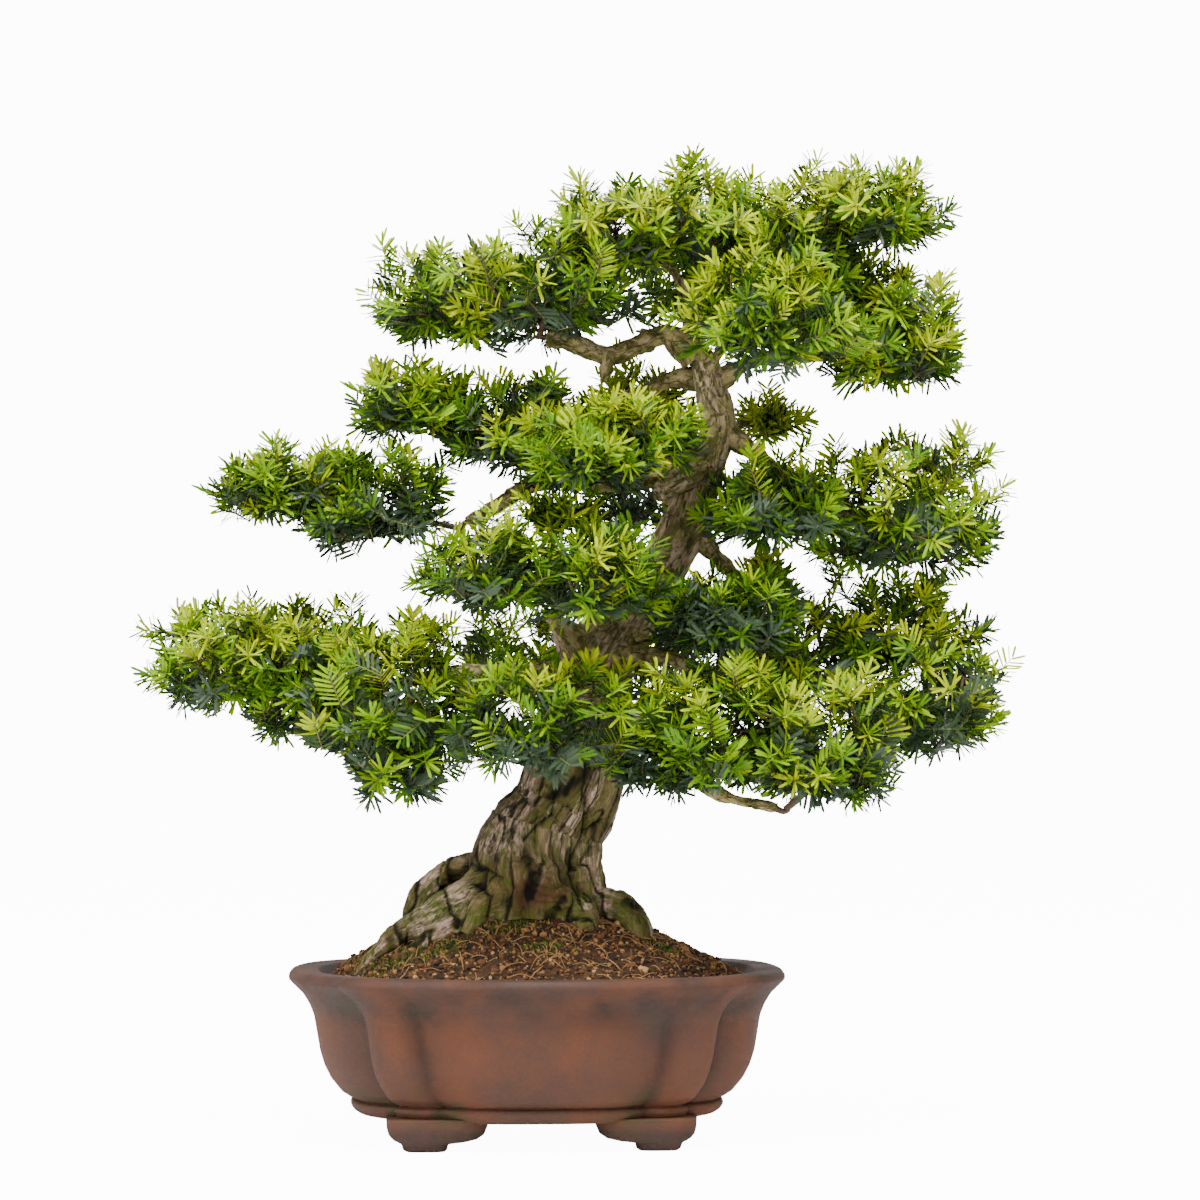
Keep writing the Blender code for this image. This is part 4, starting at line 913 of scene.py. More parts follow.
@dataclass
class Soil:
    """The mound of soil with its granules, rootlets and moss."""

    edge_height: float = 134.0
    top_height: float = 197.0
    half_width: float = 177.0
    half_depth: float = 140.0
    bluntness: float = 0.85
    lean: float = 5.0
    rings: int = 90
    granules: int = 6500
    rootlets: int = 420
    tufts: int = 5200
    pot: Pot = field(default_factory=Pot)

    def height(self, x: Array, y: Array) -> Array:
        """Return the mound's height: a blunted sine of the share of the way to its middle."""
        across = (x - self.pot.centre_x) / self.half_width
        share = np.maximum(0.0, 1.0 - np.hypot(across, y / self.half_depth))
        rise = (self.top_height - self.edge_height) * np.sin(share * np.pi / 2) ** self.bluntness
        return self.edge_height + rise - self.lean * across * np.sin(share * np.pi)

    def surface_height(self, x: Array, y: Array) -> Array:
        """Return the mound's height with its small lumps."""
        places = np.column_stack([x, y, np.zeros_like(x)])
        return self.height(x, y) + 1.6 * noise(places / 17.0, 21) + 0.8 * noise(places / 6.0, 22)

    def build(self, earth: bpy.types.Material) -> None:
        """Make the mound and what lies on it."""
        self.build_mound(earth)
        self.build_granules()
        self.build_rootlets()
        self.build_moss()

    def build_mound(self, earth: bpy.types.Material) -> None:
        """Make the mound on rings that shrink from the pot's wall to the middle."""
        edge = self.pot.outline(np.array([self.pot.inside[1]]))[0] * np.array([0.995, 0.995, 1.0])
        shares = np.linspace(1.0, 0.01, self.rings)[:, None, None]
        rings = self.pot.place((edge[None] * shares).reshape(-1, 3))
        lumps = self.surface_height(rings[:, 0], rings[:, 1])
        rings[:, 2] = lumps
        rim = rings[:self.pot.sides].copy()
        rim[:, 2] = 120.0
        points = np.vstack([rim, rings])
        middle = np.vstack([rings[-self.pot.sides:].mean(axis=0), rim.mean(axis=0)])
        sides = np.arange(self.pot.sides)
        after = (sides + 1) % self.pot.sides
        last = len(points) - self.pot.sides
        top = np.column_stack([np.full(self.pot.sides, len(points)), last + sides, last + after])
        base = np.column_stack([np.full(self.pot.sides, len(points) + 1), after, sides])
        surface = Surface()
        surface.add(np.vstack([points, middle]), grid_faces(self.rings + 1, self.pot.sides, True), top, base)
        show(surface.piece("soil_mound"), earth, ["soil"])

    def scatter(self, count: int, rng: np.random.Generator) -> tuple[Array, Array]:
        """Return places spread evenly over the mound, outside the trunk."""
        angle = rng.uniform(0.0, 2.0 * np.pi, count * 2)
        share = np.sqrt(rng.uniform(0.0, 1.0, count * 2)) * 0.985
        x = self.pot.centre_x + np.cos(angle) * share * (self.half_width - 4.0)
        y = np.sin(angle) * share * (self.half_depth - 4.0)
        outside = np.hypot((x + 40.0) / 50.0, (y - 2.0) / 48.0) > 1.0
        return x[outside][:count], y[outside][:count]

    def build_granules(self) -> None:
        """Lay jittered twenty-sided grains on the mound, dealt out to four colours."""
        rng = np.random.default_rng(41)
        x, y = self.scatter(self.granules, rng)
        size = rng.uniform(0.8, 1.9, len(x)) * (1.0 + (rng.random(len(x)) < 0.06) * 0.9)
        z = self.surface_height(x, y) + size * 0.3
        grain, faces = grain_shape()
        shape = grain[None] * (1.0 + rng.uniform(-0.25, 0.25, (len(x), len(grain), 1)))
        shape *= rng.uniform(0.7, 1.25, (len(x), 1, 3)) * size[:, None, None]
        places = np.column_stack([x, y, z])[:, None, :] + shape
        colours = (("grains_dark", (0.036, 0.016, 0.006)), ("grains_brown", (0.130, 0.054, 0.015)),
                   ("grains_tan", (0.300, 0.140, 0.042)), ("grains_pale", (0.50, 0.29, 0.12)))
        choice = rng.choice(4, len(x), p=(0.30, 0.40, 0.26, 0.04))
        for index, (name, colour) in enumerate(colours):
            surface = Surface()
            chosen = places[choice == index]
            block = faces[None] + (np.arange(len(chosen)) * len(grain))[:, None, None]
            surface.add(chosen.reshape(-1, 3), block.reshape(-1, 3))
            show(surface.piece(name, smooth=False), PlainFinish(name, colour, 0.9).build(), [])

    def build_rootlets(self) -> None:
        """Lay thin light-brown rootlets on the mound, each a short wandering tube."""
        rng = np.random.default_rng(42)
        x, y = self.scatter(self.rootlets, rng)
        turn = rng.uniform(0.0, 2.0 * np.pi, len(x))[:, None]
        bend = rng.uniform(-1.6, 1.6, len(x))[:, None]
        length = rng.uniform(10.0, 32.0, len(x))[:, None]
        t = np.linspace(0.0, 1.0, 7)[None, :]
        heading = turn + bend * t
        px = x[:, None] + np.cumsum(np.cos(heading), axis=1) * length / 7
        py = y[:, None] + np.cumsum(np.sin(heading), axis=1) * length / 7
        lift = 0.6 + np.sin(np.pi * t) * rng.uniform(0.2, 3.2, len(x))[:, None]
        pz = self.surface_height(px.ravel(), py.ravel()).reshape(px.shape) + lift
        radii = np.broadcast_to(rng.uniform(0.28, 0.55, len(x))[:, None], px.shape)
        surface = Surface()
        add_tubes(surface, np.stack([px, py, pz], axis=2), radii, 4)
        finish = PlainFinish("dry_rootlets", (0.36, 0.19, 0.07), 0.8)
        show(surface.piece("rootlets"), finish.build(), [])

    def build_moss(self) -> None:
        """Set tufts of moss, small cones that lean all ways, in patches on the mound."""
        rng = np.random.default_rng(43)
        patches = np.array([(-150, -72, 32, 16), (-115, -80, 26, 12), (-60, -62, 24, 12), (-178, -30, 14, 18),
                            (-95, 40, 26, 22), (20, 62, 24, 16), (-30, -96, 20, 9), (70, -52, 12, 10)])
        pick = rng.choice(len(patches), self.tufts, p=(0.24, 0.14, 0.2, 0.1, 0.1, 0.08, 0.08, 0.06))
        spread = np.clip(rng.normal(0.0, 0.55, (self.tufts, 2)), -1.4, 1.4)
        x = patches[pick, 0] + spread[:, 0] * patches[pick, 2]
        y = patches[pick, 1] + spread[:, 1] * patches[pick, 3]
        foot = np.column_stack([x, y, self.surface_height(x, y) - 0.3])
        lean = unit(rng.normal(0.0, 0.45, (self.tufts, 3)) + UP)
        tall = rng.uniform(1.6, 4.2, self.tufts)[:, None]
        angle = np.arange(3) * 2.0 * np.pi / 3.0
        ring = np.column_stack([np.cos(angle), np.sin(angle), np.zeros(3)])
        base = foot[:, None] + ring[None] * rng.uniform(0.5, 1.1, (self.tufts, 1, 1))
        points = np.concatenate([base, (foot + lean * tall)[:, None]], axis=1)
        cone = np.array([(0, 1, 3), (1, 2, 3), (2, 0, 3), (0, 2, 1)])
        for index, (name, colour) in enumerate((("moss_bright", (0.165, 0.235, 0.014)),
                                                ("moss_dark", (0.050, 0.080, 0.014)))):
            chosen = points[rng.random(self.tufts) < 0.5] if index else points[::2]
            surface = Surface()
            block = cone[None] + (np.arange(len(chosen)) * 4)[:, None, None]
            surface.add(chosen.reshape(-1, 3), block.reshape(-1, 3))
            show(surface.piece(name, smooth=False), PlainFinish(name, colour, 0.9).build(), [])


def grain_shape() -> tuple[Array, NDArray[np.int64]]:
    """Return a round grain's twelve corners and twenty faces, the corners of three gold oblongs."""
    g = (1.0 + math.sqrt(5.0)) / 2.0
    points = [(-1, g, 0), (1, g, 0), (-1, -g, 0), (1, -g, 0), (0, -1, g), (0, 1, g), (0, -1, -g),
              (0, 1, -g), (g, 0, -1), (g, 0, 1), (-g, 0, -1), (-g, 0, 1)]
    faces = [(0, 11, 5), (0, 5, 1), (0, 1, 7), (0, 7, 10), (0, 10, 11), (1, 5, 9), (5, 11, 4),
             (11, 10, 2), (10, 7, 6), (7, 1, 8), (3, 9, 4), (3, 4, 2), (3, 2, 6), (3, 6, 8),
             (3, 8, 9), (4, 9, 5), (2, 4, 11), (6, 2, 10), (8, 6, 7), (9, 8, 1)]
    return unit(np.array(points, float)), np.array(faces)


# Wood


@dataclass
class Skeleton:
    """The middle lines of trunk and roots as short straight pieces with radii."""

    start: Array
    end: Array
    radius: Array
    along: Array
    branch: NDArray[np.int64]

    @classmethod
    def of_lines(cls, lines: list[Array]) -> "Skeleton":
        """Return the skeleton of several lines of x, y, z and radius."""
        start = np.vstack([line[:-1] for line in lines])
        end = np.vstack([line[1:] for line in lines])
        steps = [np.linalg.norm(np.diff(line[:, :3], axis=0), axis=1) for line in lines]
        along = np.concatenate([np.cumsum(step) - step for step in steps])
        branch = np.concatenate([np.full(len(step), i) for i, step in enumerate(steps)])
        return cls(start[:, :3], end[:, :3], start[:, 3], along, branch)

    def coordinates(self, points: Array) -> tuple[Array, Array]:
        """Return coordinates that follow the wood, and the way out of it.

        Args:
            points: Places, three a row.

        Returns:
            For each place its offset across and along the nearest piece, as three numbers, and
            its distance from that piece's skin.
        """
        run = self.end - self.start
        length = np.maximum(np.linalg.norm(run, axis=1), 1e-6)
        best = np.full(len(points), np.inf)
        nearest = np.zeros(len(points), np.int64)
        share = np.zeros(len(points))
        for index in range(len(run)):
            offset = points - self.start[index]
            t = np.clip(offset @ run[index] / length[index] ** 2, 0.0, 1.0)
            far = np.linalg.norm(offset - t[:, None] * run[index], axis=1) - self.radius[index]
            closer = far < best
            best = np.where(closer, far, best)
            nearest = np.where(closer, index, nearest)
            share = np.where(closer, t, share)
        middle = self.start[nearest] + run[nearest] * share[:, None]
        heading = unit(run)[nearest]
        side = unit(np.array([0.0, -1.0, 0.02]) - heading * (heading @ np.array([0.0, -1.0, 0.02]))[:, None])
        up = np.cross(heading, side)
        offset = points - middle
        grain = np.column_stack([np.sum(offset * side, axis=1), np.sum(offset * up, axis=1),
                                 self.along[nearest] + share * length[nearest]])
        grain += self.branch[nearest][:, None] * 137.0
        return grain, best


@dataclass
class Relief:
    """What bark does at each point: its rise in millimetres, and its masks."""

    rise: Array
    crack_and_shade: Array
    algae: Array
    bare: Array

    def blend(self, other: "Relief", share: Array) -> "Relief":
        """Return the relief that passes to another one by a share at each point."""
        pairs = ((self.rise, other.rise), (self.crack_and_shade, other.crack_and_shade), (self.algae, other.algae),
                 (self.bare, other.bare))
        return Relief(*(mine * (1.0 - share) + theirs * share for mine, theirs in pairs))


def terraces(values: Array, edge: float) -> tuple[Array, Array]:
    """Return values cut to whole steps with eased edges, and a mask along the foot of each edge.

    Args:
        values: The values, of which each whole number becomes one level.
        edge: How much of a step its edge takes up.
    """
    whole = np.floor(values)
    part = values - whole
    foot = ease(1.0 - 2.2 * edge, 1.0 - 0.9 * edge, part) * (1.0 - ease(1.0 - 0.5 * edge, 1.0, part))
    return whole + ease(1.0 - edge, 1.0, part), foot


@dataclass(frozen=True)
class Bark:
    """One kind of bark: the width of its plates, width over length, and its steps' height."""

    size: float
    stretch: float
    steps: float
    relief: float
    seed: int

    def lay(self, grain: Array) -> Relief:
        """Return the relief of flaking bark.

        A stretched noise is cut into terraces, like flakes that lie over one another, and a finer
        one does the same to each flake. Creases run where another noise changes sign, and break
        off here and there; algae grow along them. The dark mask holds the creases' cracks and
        painted shadow at the foot of each step.

        Args:
            grain: Places across and along the wood, three a row.
        """
        warp = np.column_stack([noise(grain / (1.6 * self.size), self.seed + k) for k in range(3)])
        ripple = np.column_stack([noise(grain / (0.3 * self.size), self.seed + 3 + k) for k in range(3)])
        flow = grain + self.size * (0.45 * warp + 0.06 * ripple)
        flow = flow * np.array([1.0, 1.0, self.stretch]) / self.size
        coarse, foot = terraces(self.steps * layered_noise(0.75 * flow, self.seed + 10), 0.14)
        fine, fine_foot = terraces(3.0 * layered_noise(2.1 * flow + 5.5, self.seed + 20, 2), 0.22)
        line = 1.0 - np.abs(noise(0.85 * flow, self.seed + 30))
        broken = ease(-0.15, 0.3, noise(grain / (1.1 * self.size), self.seed + 31))
        crease = line**24 * broken
        rough = layered_noise(grain * np.array([1.0, 1.0, 0.5]) / 2.8, self.seed + 40)
        rise = self.relief * (1.25 * coarse + 0.38 * fine - 2.2 * crease) + 0.32 * rough
        # Dark mask: the creases' cracks, and painted shadow at the foot of each flake's step.
        crack_and_shade = 0.85 * foot + 0.35 * fine_foot + 0.9 * ease(0.30, 0.90, crease)
        streaks = layered_noise(flow * np.array([1.6, 1.6, 1.1]) + 9.1, self.seed + 50)
        bare = ease(0.0, 0.35, streaks) * (1.0 - 0.8 * np.clip(foot + crease, 0.0, 1.0))
        return Relief(rise, crack_and_shade, line**8 * broken + 0.6 * foot, bare)


def flute(angle: Array, height: Array) -> Array:
    """Return the trunk's fluting as a factor: cosines of 2, 3 and 5 times the angle, fading up."""
    fade = np.clip((420.0 - height) / (420.0 - 197.0), 0.25, 1.0)
    twist = height * 0.004
    wave = 0.060 * np.cos(2 * angle + 0.6 + twist)
    wave = wave + 0.055 * np.cos(3 * angle - 1.1 - twist)
    wave = wave + 0.045 * np.cos(5 * angle + 2.0 + 2 * twist)
    return 1.0 + fade * wave


@dataclass
class Wood:
    """The trunk with its roots, and the boughs, under flaking bark."""

    soil: Soil
    voxel: float = 1.57
    trunk_sides: int = 72
    root_sides: int = 28
    bough_sides: int = 30
    bough_spacing: float = 1.9
    middle_bark: Bark = Bark(27.0, 0.22, 2.6, 1.0, 81)
    upper_bark: Bark = Bark(22.0, 0.50, 1.9, 0.8, 281)
    base_bark: Bark = Bark(36.0, 0.60, 1.5, 1.0, 481)
    bough_bark: Bark = Bark(16.0, 0.60, 1.7, 0.6, 681)
    stubs: tuple = ((("left_upper", "dead_stub"), ((24, -12, 664, 8.5), (21, -15, 653, 6.5),
                                                   (18.5, -16, 643, 3.2), (18, -16, 640, 1.2))),)
    burls: tuple = ((-15, -60, 204, 10), (-99, -48, 190, 8))
    hollow: tuple[float, float, float, float] = (-47.0, -58.0, 205.0, 13.0)
    knob: Colour = (-15.0, -60.0, 204.0)
    bared: tuple = ((-106, -44, 207, 19), (78, -14, 494, 12), (106, -14, 638, 16), (-6, -40, 345, 14),
                    (-66, -46, 262, 22), (66, -40, 547, 10), (84, -28, 560, 11))
    creases: tuple = (((20, 269), (4.6, 258), (-6.4, 239), (-9, 226), (1.3, 197)),
                      ((-24.6, 275.4), (-36, 268), (-48, 254.4)),
                      ((-95, 233.4), (-80, 228.5), (-68, 222.5)),
                      ((-89.2, 218.3), (-74.1, 209.9), (-76.6, 189)),
                      ((-14, 330), (-22, 305), (-24.6, 275.4)), ((14, 318), (4, 292), (4.6, 258)))

    def trunk_lines(self) -> list[Array]:
        """Return the trunk's, roots' and growths' lines as x, y, z and radius."""
        lines = [smooth_route(np.array(TRUNK, float), 8.0)]
        for root in ROOTS:
            knots = np.array(root, float)
            knots[:, 2] += self.soil.height(knots[:, 0], knots[:, 1])
            lines.append(smooth_route(knots, 6.0))
        lines += [smooth_route(np.array(growth, float), 6.0) for growth in GROWTHS]
        return lines

    def build(self, bark: bpy.types.Material) -> None:
        """Make the trunk and every bough."""
        lines = self.trunk_lines()
        skeleton = Skeleton.of_lines(lines)
        self.build_trunk(lines, skeleton, bark)
        for limb in LIMBS:
            self.build_bough(limb, skeleton, bark)
        for names, route in self.stubs:
            self.build_stub("_".join(names), np.array(route, float), bark)

    def build_stub(self, name: str, route: Array, bark: bpy.types.Material) -> None:
        """Make a dead stub on a bough, from its route of x, y, z and radius."""
        line = smooth_route(route, self.bough_spacing)
        surface = Surface()
        lumps = 1.0 + 0.25 * noise(line[:, :3] / 5.0, 66)
        add_tubes(surface, line[None, :, :3], (line[:, 3] * lumps)[None], self.bough_sides)
        item = surface.piece(name)
        self.lay_bark(item, Skeleton.of_lines([line]), False)
        show(item, bark, [])

    def build_trunk(self, lines: list[Array], skeleton: Skeleton, bark: bpy.types.Material) -> None:
        """Fuse the trunk with its roots and lay the bark's relief over them."""
        surface = Surface()
        line = lines[0]
        angle = 2.0 * np.pi * np.arange(self.trunk_sides) / self.trunk_sides
        radii = line[:, 3:4] * flute(angle[None], line[:, 2:3])
        add_tubes(surface, line[None, :, :3], radii[None], self.trunk_sides)
        for other in lines[1:]:
            add_tubes(surface, other[None, :, :3], other[None, :, 3], self.root_sides)
        item = surface.piece("trunk_and_roots")
        modifier = item.modifiers.new("fuse", "REMESH")
        modifier.mode = "VOXEL"
        modifier.voxel_size = self.voxel * MM
        graph = bpy.context.evaluated_depsgraph_get()
        mesh = bpy.data.meshes.new_from_object(item.evaluated_get(graph))
        item.modifiers.clear()
        item.data = mesh
        mesh.name = item.name
        relax(item, 5)
        self.lay_bark(item, skeleton, True)
        show(item, bark, ["trunk"])

    def build_bough(self, limb: Limb, skeleton: Skeleton, bark: bpy.types.Material) -> None:
        """Make one bough, thickened to a collar where it leaves its carrier."""
        line = limb.line(self.bough_spacing)
        out = skeleton.coordinates(line[:, :3])[1]
        collar = 1.0 + 0.30 * np.exp(-((np.maximum(out, 0.0) / 9.0) ** 2))
        lumps = 1.0 + 0.17 * noise(line[:, :3] / 16.0, 61) + 0.10 * noise(line[:, :3] / 6.0, 62)
        surface = Surface()
        add_tubes(surface, line[None, :, :3], (line[:, 3] * collar * lumps)[None], self.bough_sides)
        item = surface.piece(limb.name + "_bark")
        self.lay_bark(item, Skeleton.of_lines([line]), False)
        show(item, bark, [limb.name])

    def lay_bark(self, item: bpy.types.Object, skeleton: Skeleton, trunk: bool) -> None:
        """Move the points of a piece of wood by its bark's relief and write the bark's masks.

        Args:
            item: The wood.
            skeleton: What the plates follow.
            trunk: Whether this is the trunk and not a bough.
        """
        points = read_points(item)
        normals = np.empty(len(points) * 3, np.float32)
        item.data.vertices.foreach_get("normal", normals)
        normals = normals.reshape(-1, 3)
        grain = skeleton.coordinates(points)[0]
        height = points[:, 2]
        reddish = np.zeros(len(points))
        net = np.ones(len(points))
        # Mask of the pale tan painted light: the boughs get it all over, the trunk only high up.
        painted_light = np.full(len(points), 0.75)
        if trunk:
            relief = self.middle_bark.lay(grain)
            upper = ease(370.0, 450.0, height)
            relief = relief.blend(self.upper_bark.lay(grain), upper)
            relief = relief.blend(self.base_bark.lay(points), 1.0 - ease(222.0, 268.0, height))
            relief.rise += 2.4 * noise(points / 24.0, 63) * (1.0 - ease(300.0, 420.0, height))
            reddish = self.mark_base(points, normals, relief)
            # The upper trunk is painted lighter where the crown shades it, as painted light: more pale bared
            # bark, fewer dark cracks.
            relief.bare += 0.20 * upper
            relief.crack_and_shade *= 1.0 - 0.45 * upper
            net = 0.15 + 0.55 * upper
            painted_light = 0.75 * upper
        else:
            relief = self.bough_bark.lay(grain)
            relief.rise += 1.1 * noise(grain * np.array([1.0, 1.0, 0.8]) / 9.0, 64)
            relief.bare = 0.6 * relief.bare + 0.10
            relief.crack_and_shade *= 0.55
            net *= 0.7
        moved = points + normals * relief.rise[:, None]
        item.data.vertices.foreach_set("co", (moved * MM).astype(np.float32).ravel())
        item.data.update()
        item.data.polygons.foreach_set("use_smooth", np.full(len(item.data.polygons), True))
        low = 1.0 - ease(4.0, 50.0, height - self.soil.height(points[:, 0], points[:, 1]))
        damp = noise(points / 16.0, 97) + 0.5 * noise(points / 5.0, 98)
        moss = ease(0.35, 0.75, damp * 0.6 + 0.5 * low + 0.30 * normals[:, 2])
        masks = {"crack_and_shade": relief.crack_and_shade, "algae": relief.algae, "bare": relief.bare, "moss": moss,
                 "cut": reddish, "net": net, "painted_light": painted_light}
        for name, mask in masks.items():
            write_field(item, name, np.clip(mask, 0.0, 1.0))
        write_field(item, "grain", grain)

    def mark_base(self, points: Array, normals: Array, relief: Relief) -> Array:
        """Lay the trunk's own marks into its relief: folds, burls, bared spots, hollow and knob.
        The folds, the hollow, the burls' troughs and the knob's eye are also painted dark as painted shade.

        A burl's rings rise and fall as a cosine of the distance from its eye, and fade away from it.

        Args:
            points: The trunk's points.
            normals: Their ways out of the wood.
            relief: The relief that is changed.

        Returns:
            How reddish the wood is at each point.
        """
        front = ease(0.1, 0.5, -normals[:, 1])
        # Each fold sinks and is painted dark along its line: painted shade in the fold.
        for line in self.creases:
            far = line_distance(points[:, [0, 2]], np.array(line, float))
            relief.rise -= 2.6 * np.exp(-((far / 2.4) ** 2)) * front
            relief.crack_and_shade += 0.9 * np.exp(-((far / 1.2) ** 2)) * front
            relief.algae += 0.7 * np.exp(-((far / 7.0) ** 2)) * front
        # Pale bared bark laid on the trunk's left-facing side above 230 mm: painted light from the left.
        relief.bare += 0.35 * ease(0.2, 0.8, -normals[:, 0]) * ease(230.0, 262.0, points[:, 2])
        for x, y, z, size in self.bared:
            far = np.linalg.norm(points - np.array([x, y, z]), axis=1)
            relief.bare += 1.1 * np.exp(-((far / size) ** 4))
            relief.rise -= 0.5 * (relief.rise - 0.4) * np.exp(-((far / size) ** 4))
        for x, y, z, size in self.burls:
            far = np.linalg.norm(points - np.array([x, y, z]), axis=1)
            fade = np.exp(-((far / size) ** 2))
            relief.rise += 0.9 * np.cos(2.0 * np.pi * far / 6.5) * fade
            relief.crack_and_shade += 0.35 * np.maximum(0.0, -np.cos(2.0 * np.pi * far / 6.5)) * fade
        x, y, z, size = self.hollow
        far = np.linalg.norm((points - np.array([x, y, z])) * np.array([0.8, 1.0, 1.0]), axis=1)
        relief.rise -= 12.0 * np.exp(-((far / size) ** 2))
        # The hollow is painted dark inside: painted shade.
        relief.crack_and_shade += 0.6 * np.exp(-((far / (0.7 * size)) ** 2))
        eye = np.linalg.norm(points - np.array(self.knob), axis=1)
        relief.rise -= 2.5 * np.exp(-((eye / 3.5) ** 2))
        relief.crack_and_shade += np.exp(-((eye / 3.5) ** 2))
        relief.bare *= 1.0 - np.exp(-((far / (2.0 * size)) ** 2))
        return 0.75 * np.exp(-((far / (1.7 * size)) ** 2)) + 0.5 * np.exp(-((eye / 14.0) ** 2))


def line_distance(places: Array, line: Array) -> Array:
    """Return each place's distance from a line of straight pieces, in as many dimensions."""
    best = np.full(len(places), np.inf)
    for start, end in zip(line, line[1:]):
        run = end - start
        t = np.clip((places - start) @ run / (run @ run), 0.0, 1.0)
        best = np.minimum(best, np.linalg.norm(places - start - t[:, None] * run, axis=1))
    return best


def relax(item: bpy.types.Object, rounds: int) -> None:
    """Smooth a mesh: each point moves halfway to the mean of its neighbours, some rounds."""
    mesh = item.data
    edges = np.empty(len(mesh.edges) * 2, np.int32)
    mesh.edges.foreach_get("vertices", edges)
    edges = edges.reshape(-1, 2)
    ends = np.concatenate([edges[:, 0], edges[:, 1]])
    others = np.concatenate([edges[:, 1], edges[:, 0]])
    points = read_points(item)
    count = np.maximum(np.bincount(ends, minlength=len(points)), 1)
    for _ in range(rounds):
        sums = [np.bincount(ends, points[others, k], len(points)) for k in range(3)]
        points = 0.5 * points + 0.5 * np.stack(sums, axis=1) / count[:, None]
    mesh.vertices.foreach_set("co", (points * MM).astype(np.float32).ravel())
    mesh.update()


# Foliage

# A needle's corners as shares of its length and half width, and the rise of its middle rib
BLADE = np.array([(0.0, 0.0, 0.0), (0.14, -0.85, 0.0), (0.14, 0.85, 0.0), (0.84, -0.92, 0.0),
                  (0.84, 0.92, 0.0), (1.0, 0.0, 0.0), (0.5, 0.0, 0.35)])
BLADE_FACES = np.array([(0, 6, 1), (1, 6, 3), (3, 6, 5), (0, 2, 6), (2, 4, 6), (4, 5, 6)])
STRAP = BLADE[:6] * np.array([1.0, 0.78, 1.0])
STRAP_FACES = np.array([(0, 2, 1), (1, 2, 4), (1, 4, 3), (3, 4, 5)])


@dataclass
class Shoots:
    """Leafy shoots: where each starts, its axis, the way out of its clump, its length and light."""

    root: list[Array] = field(default_factory=list)
    axis: list[Array] = field(default_factory=list)
    out: list[Array] = field(default_factory=list)
    length: list[float] = field(default_factory=list)
    light: list[float] = field(default_factory=list)

    def add(self, root: Array, axis: Array, out: Array, length: float, light: float) -> None:
        """Add one shoot."""
        self.root.append(root)
        self.axis.append(axis)
        self.out.append(out)
        self.length.append(length)
        self.light.append(light)


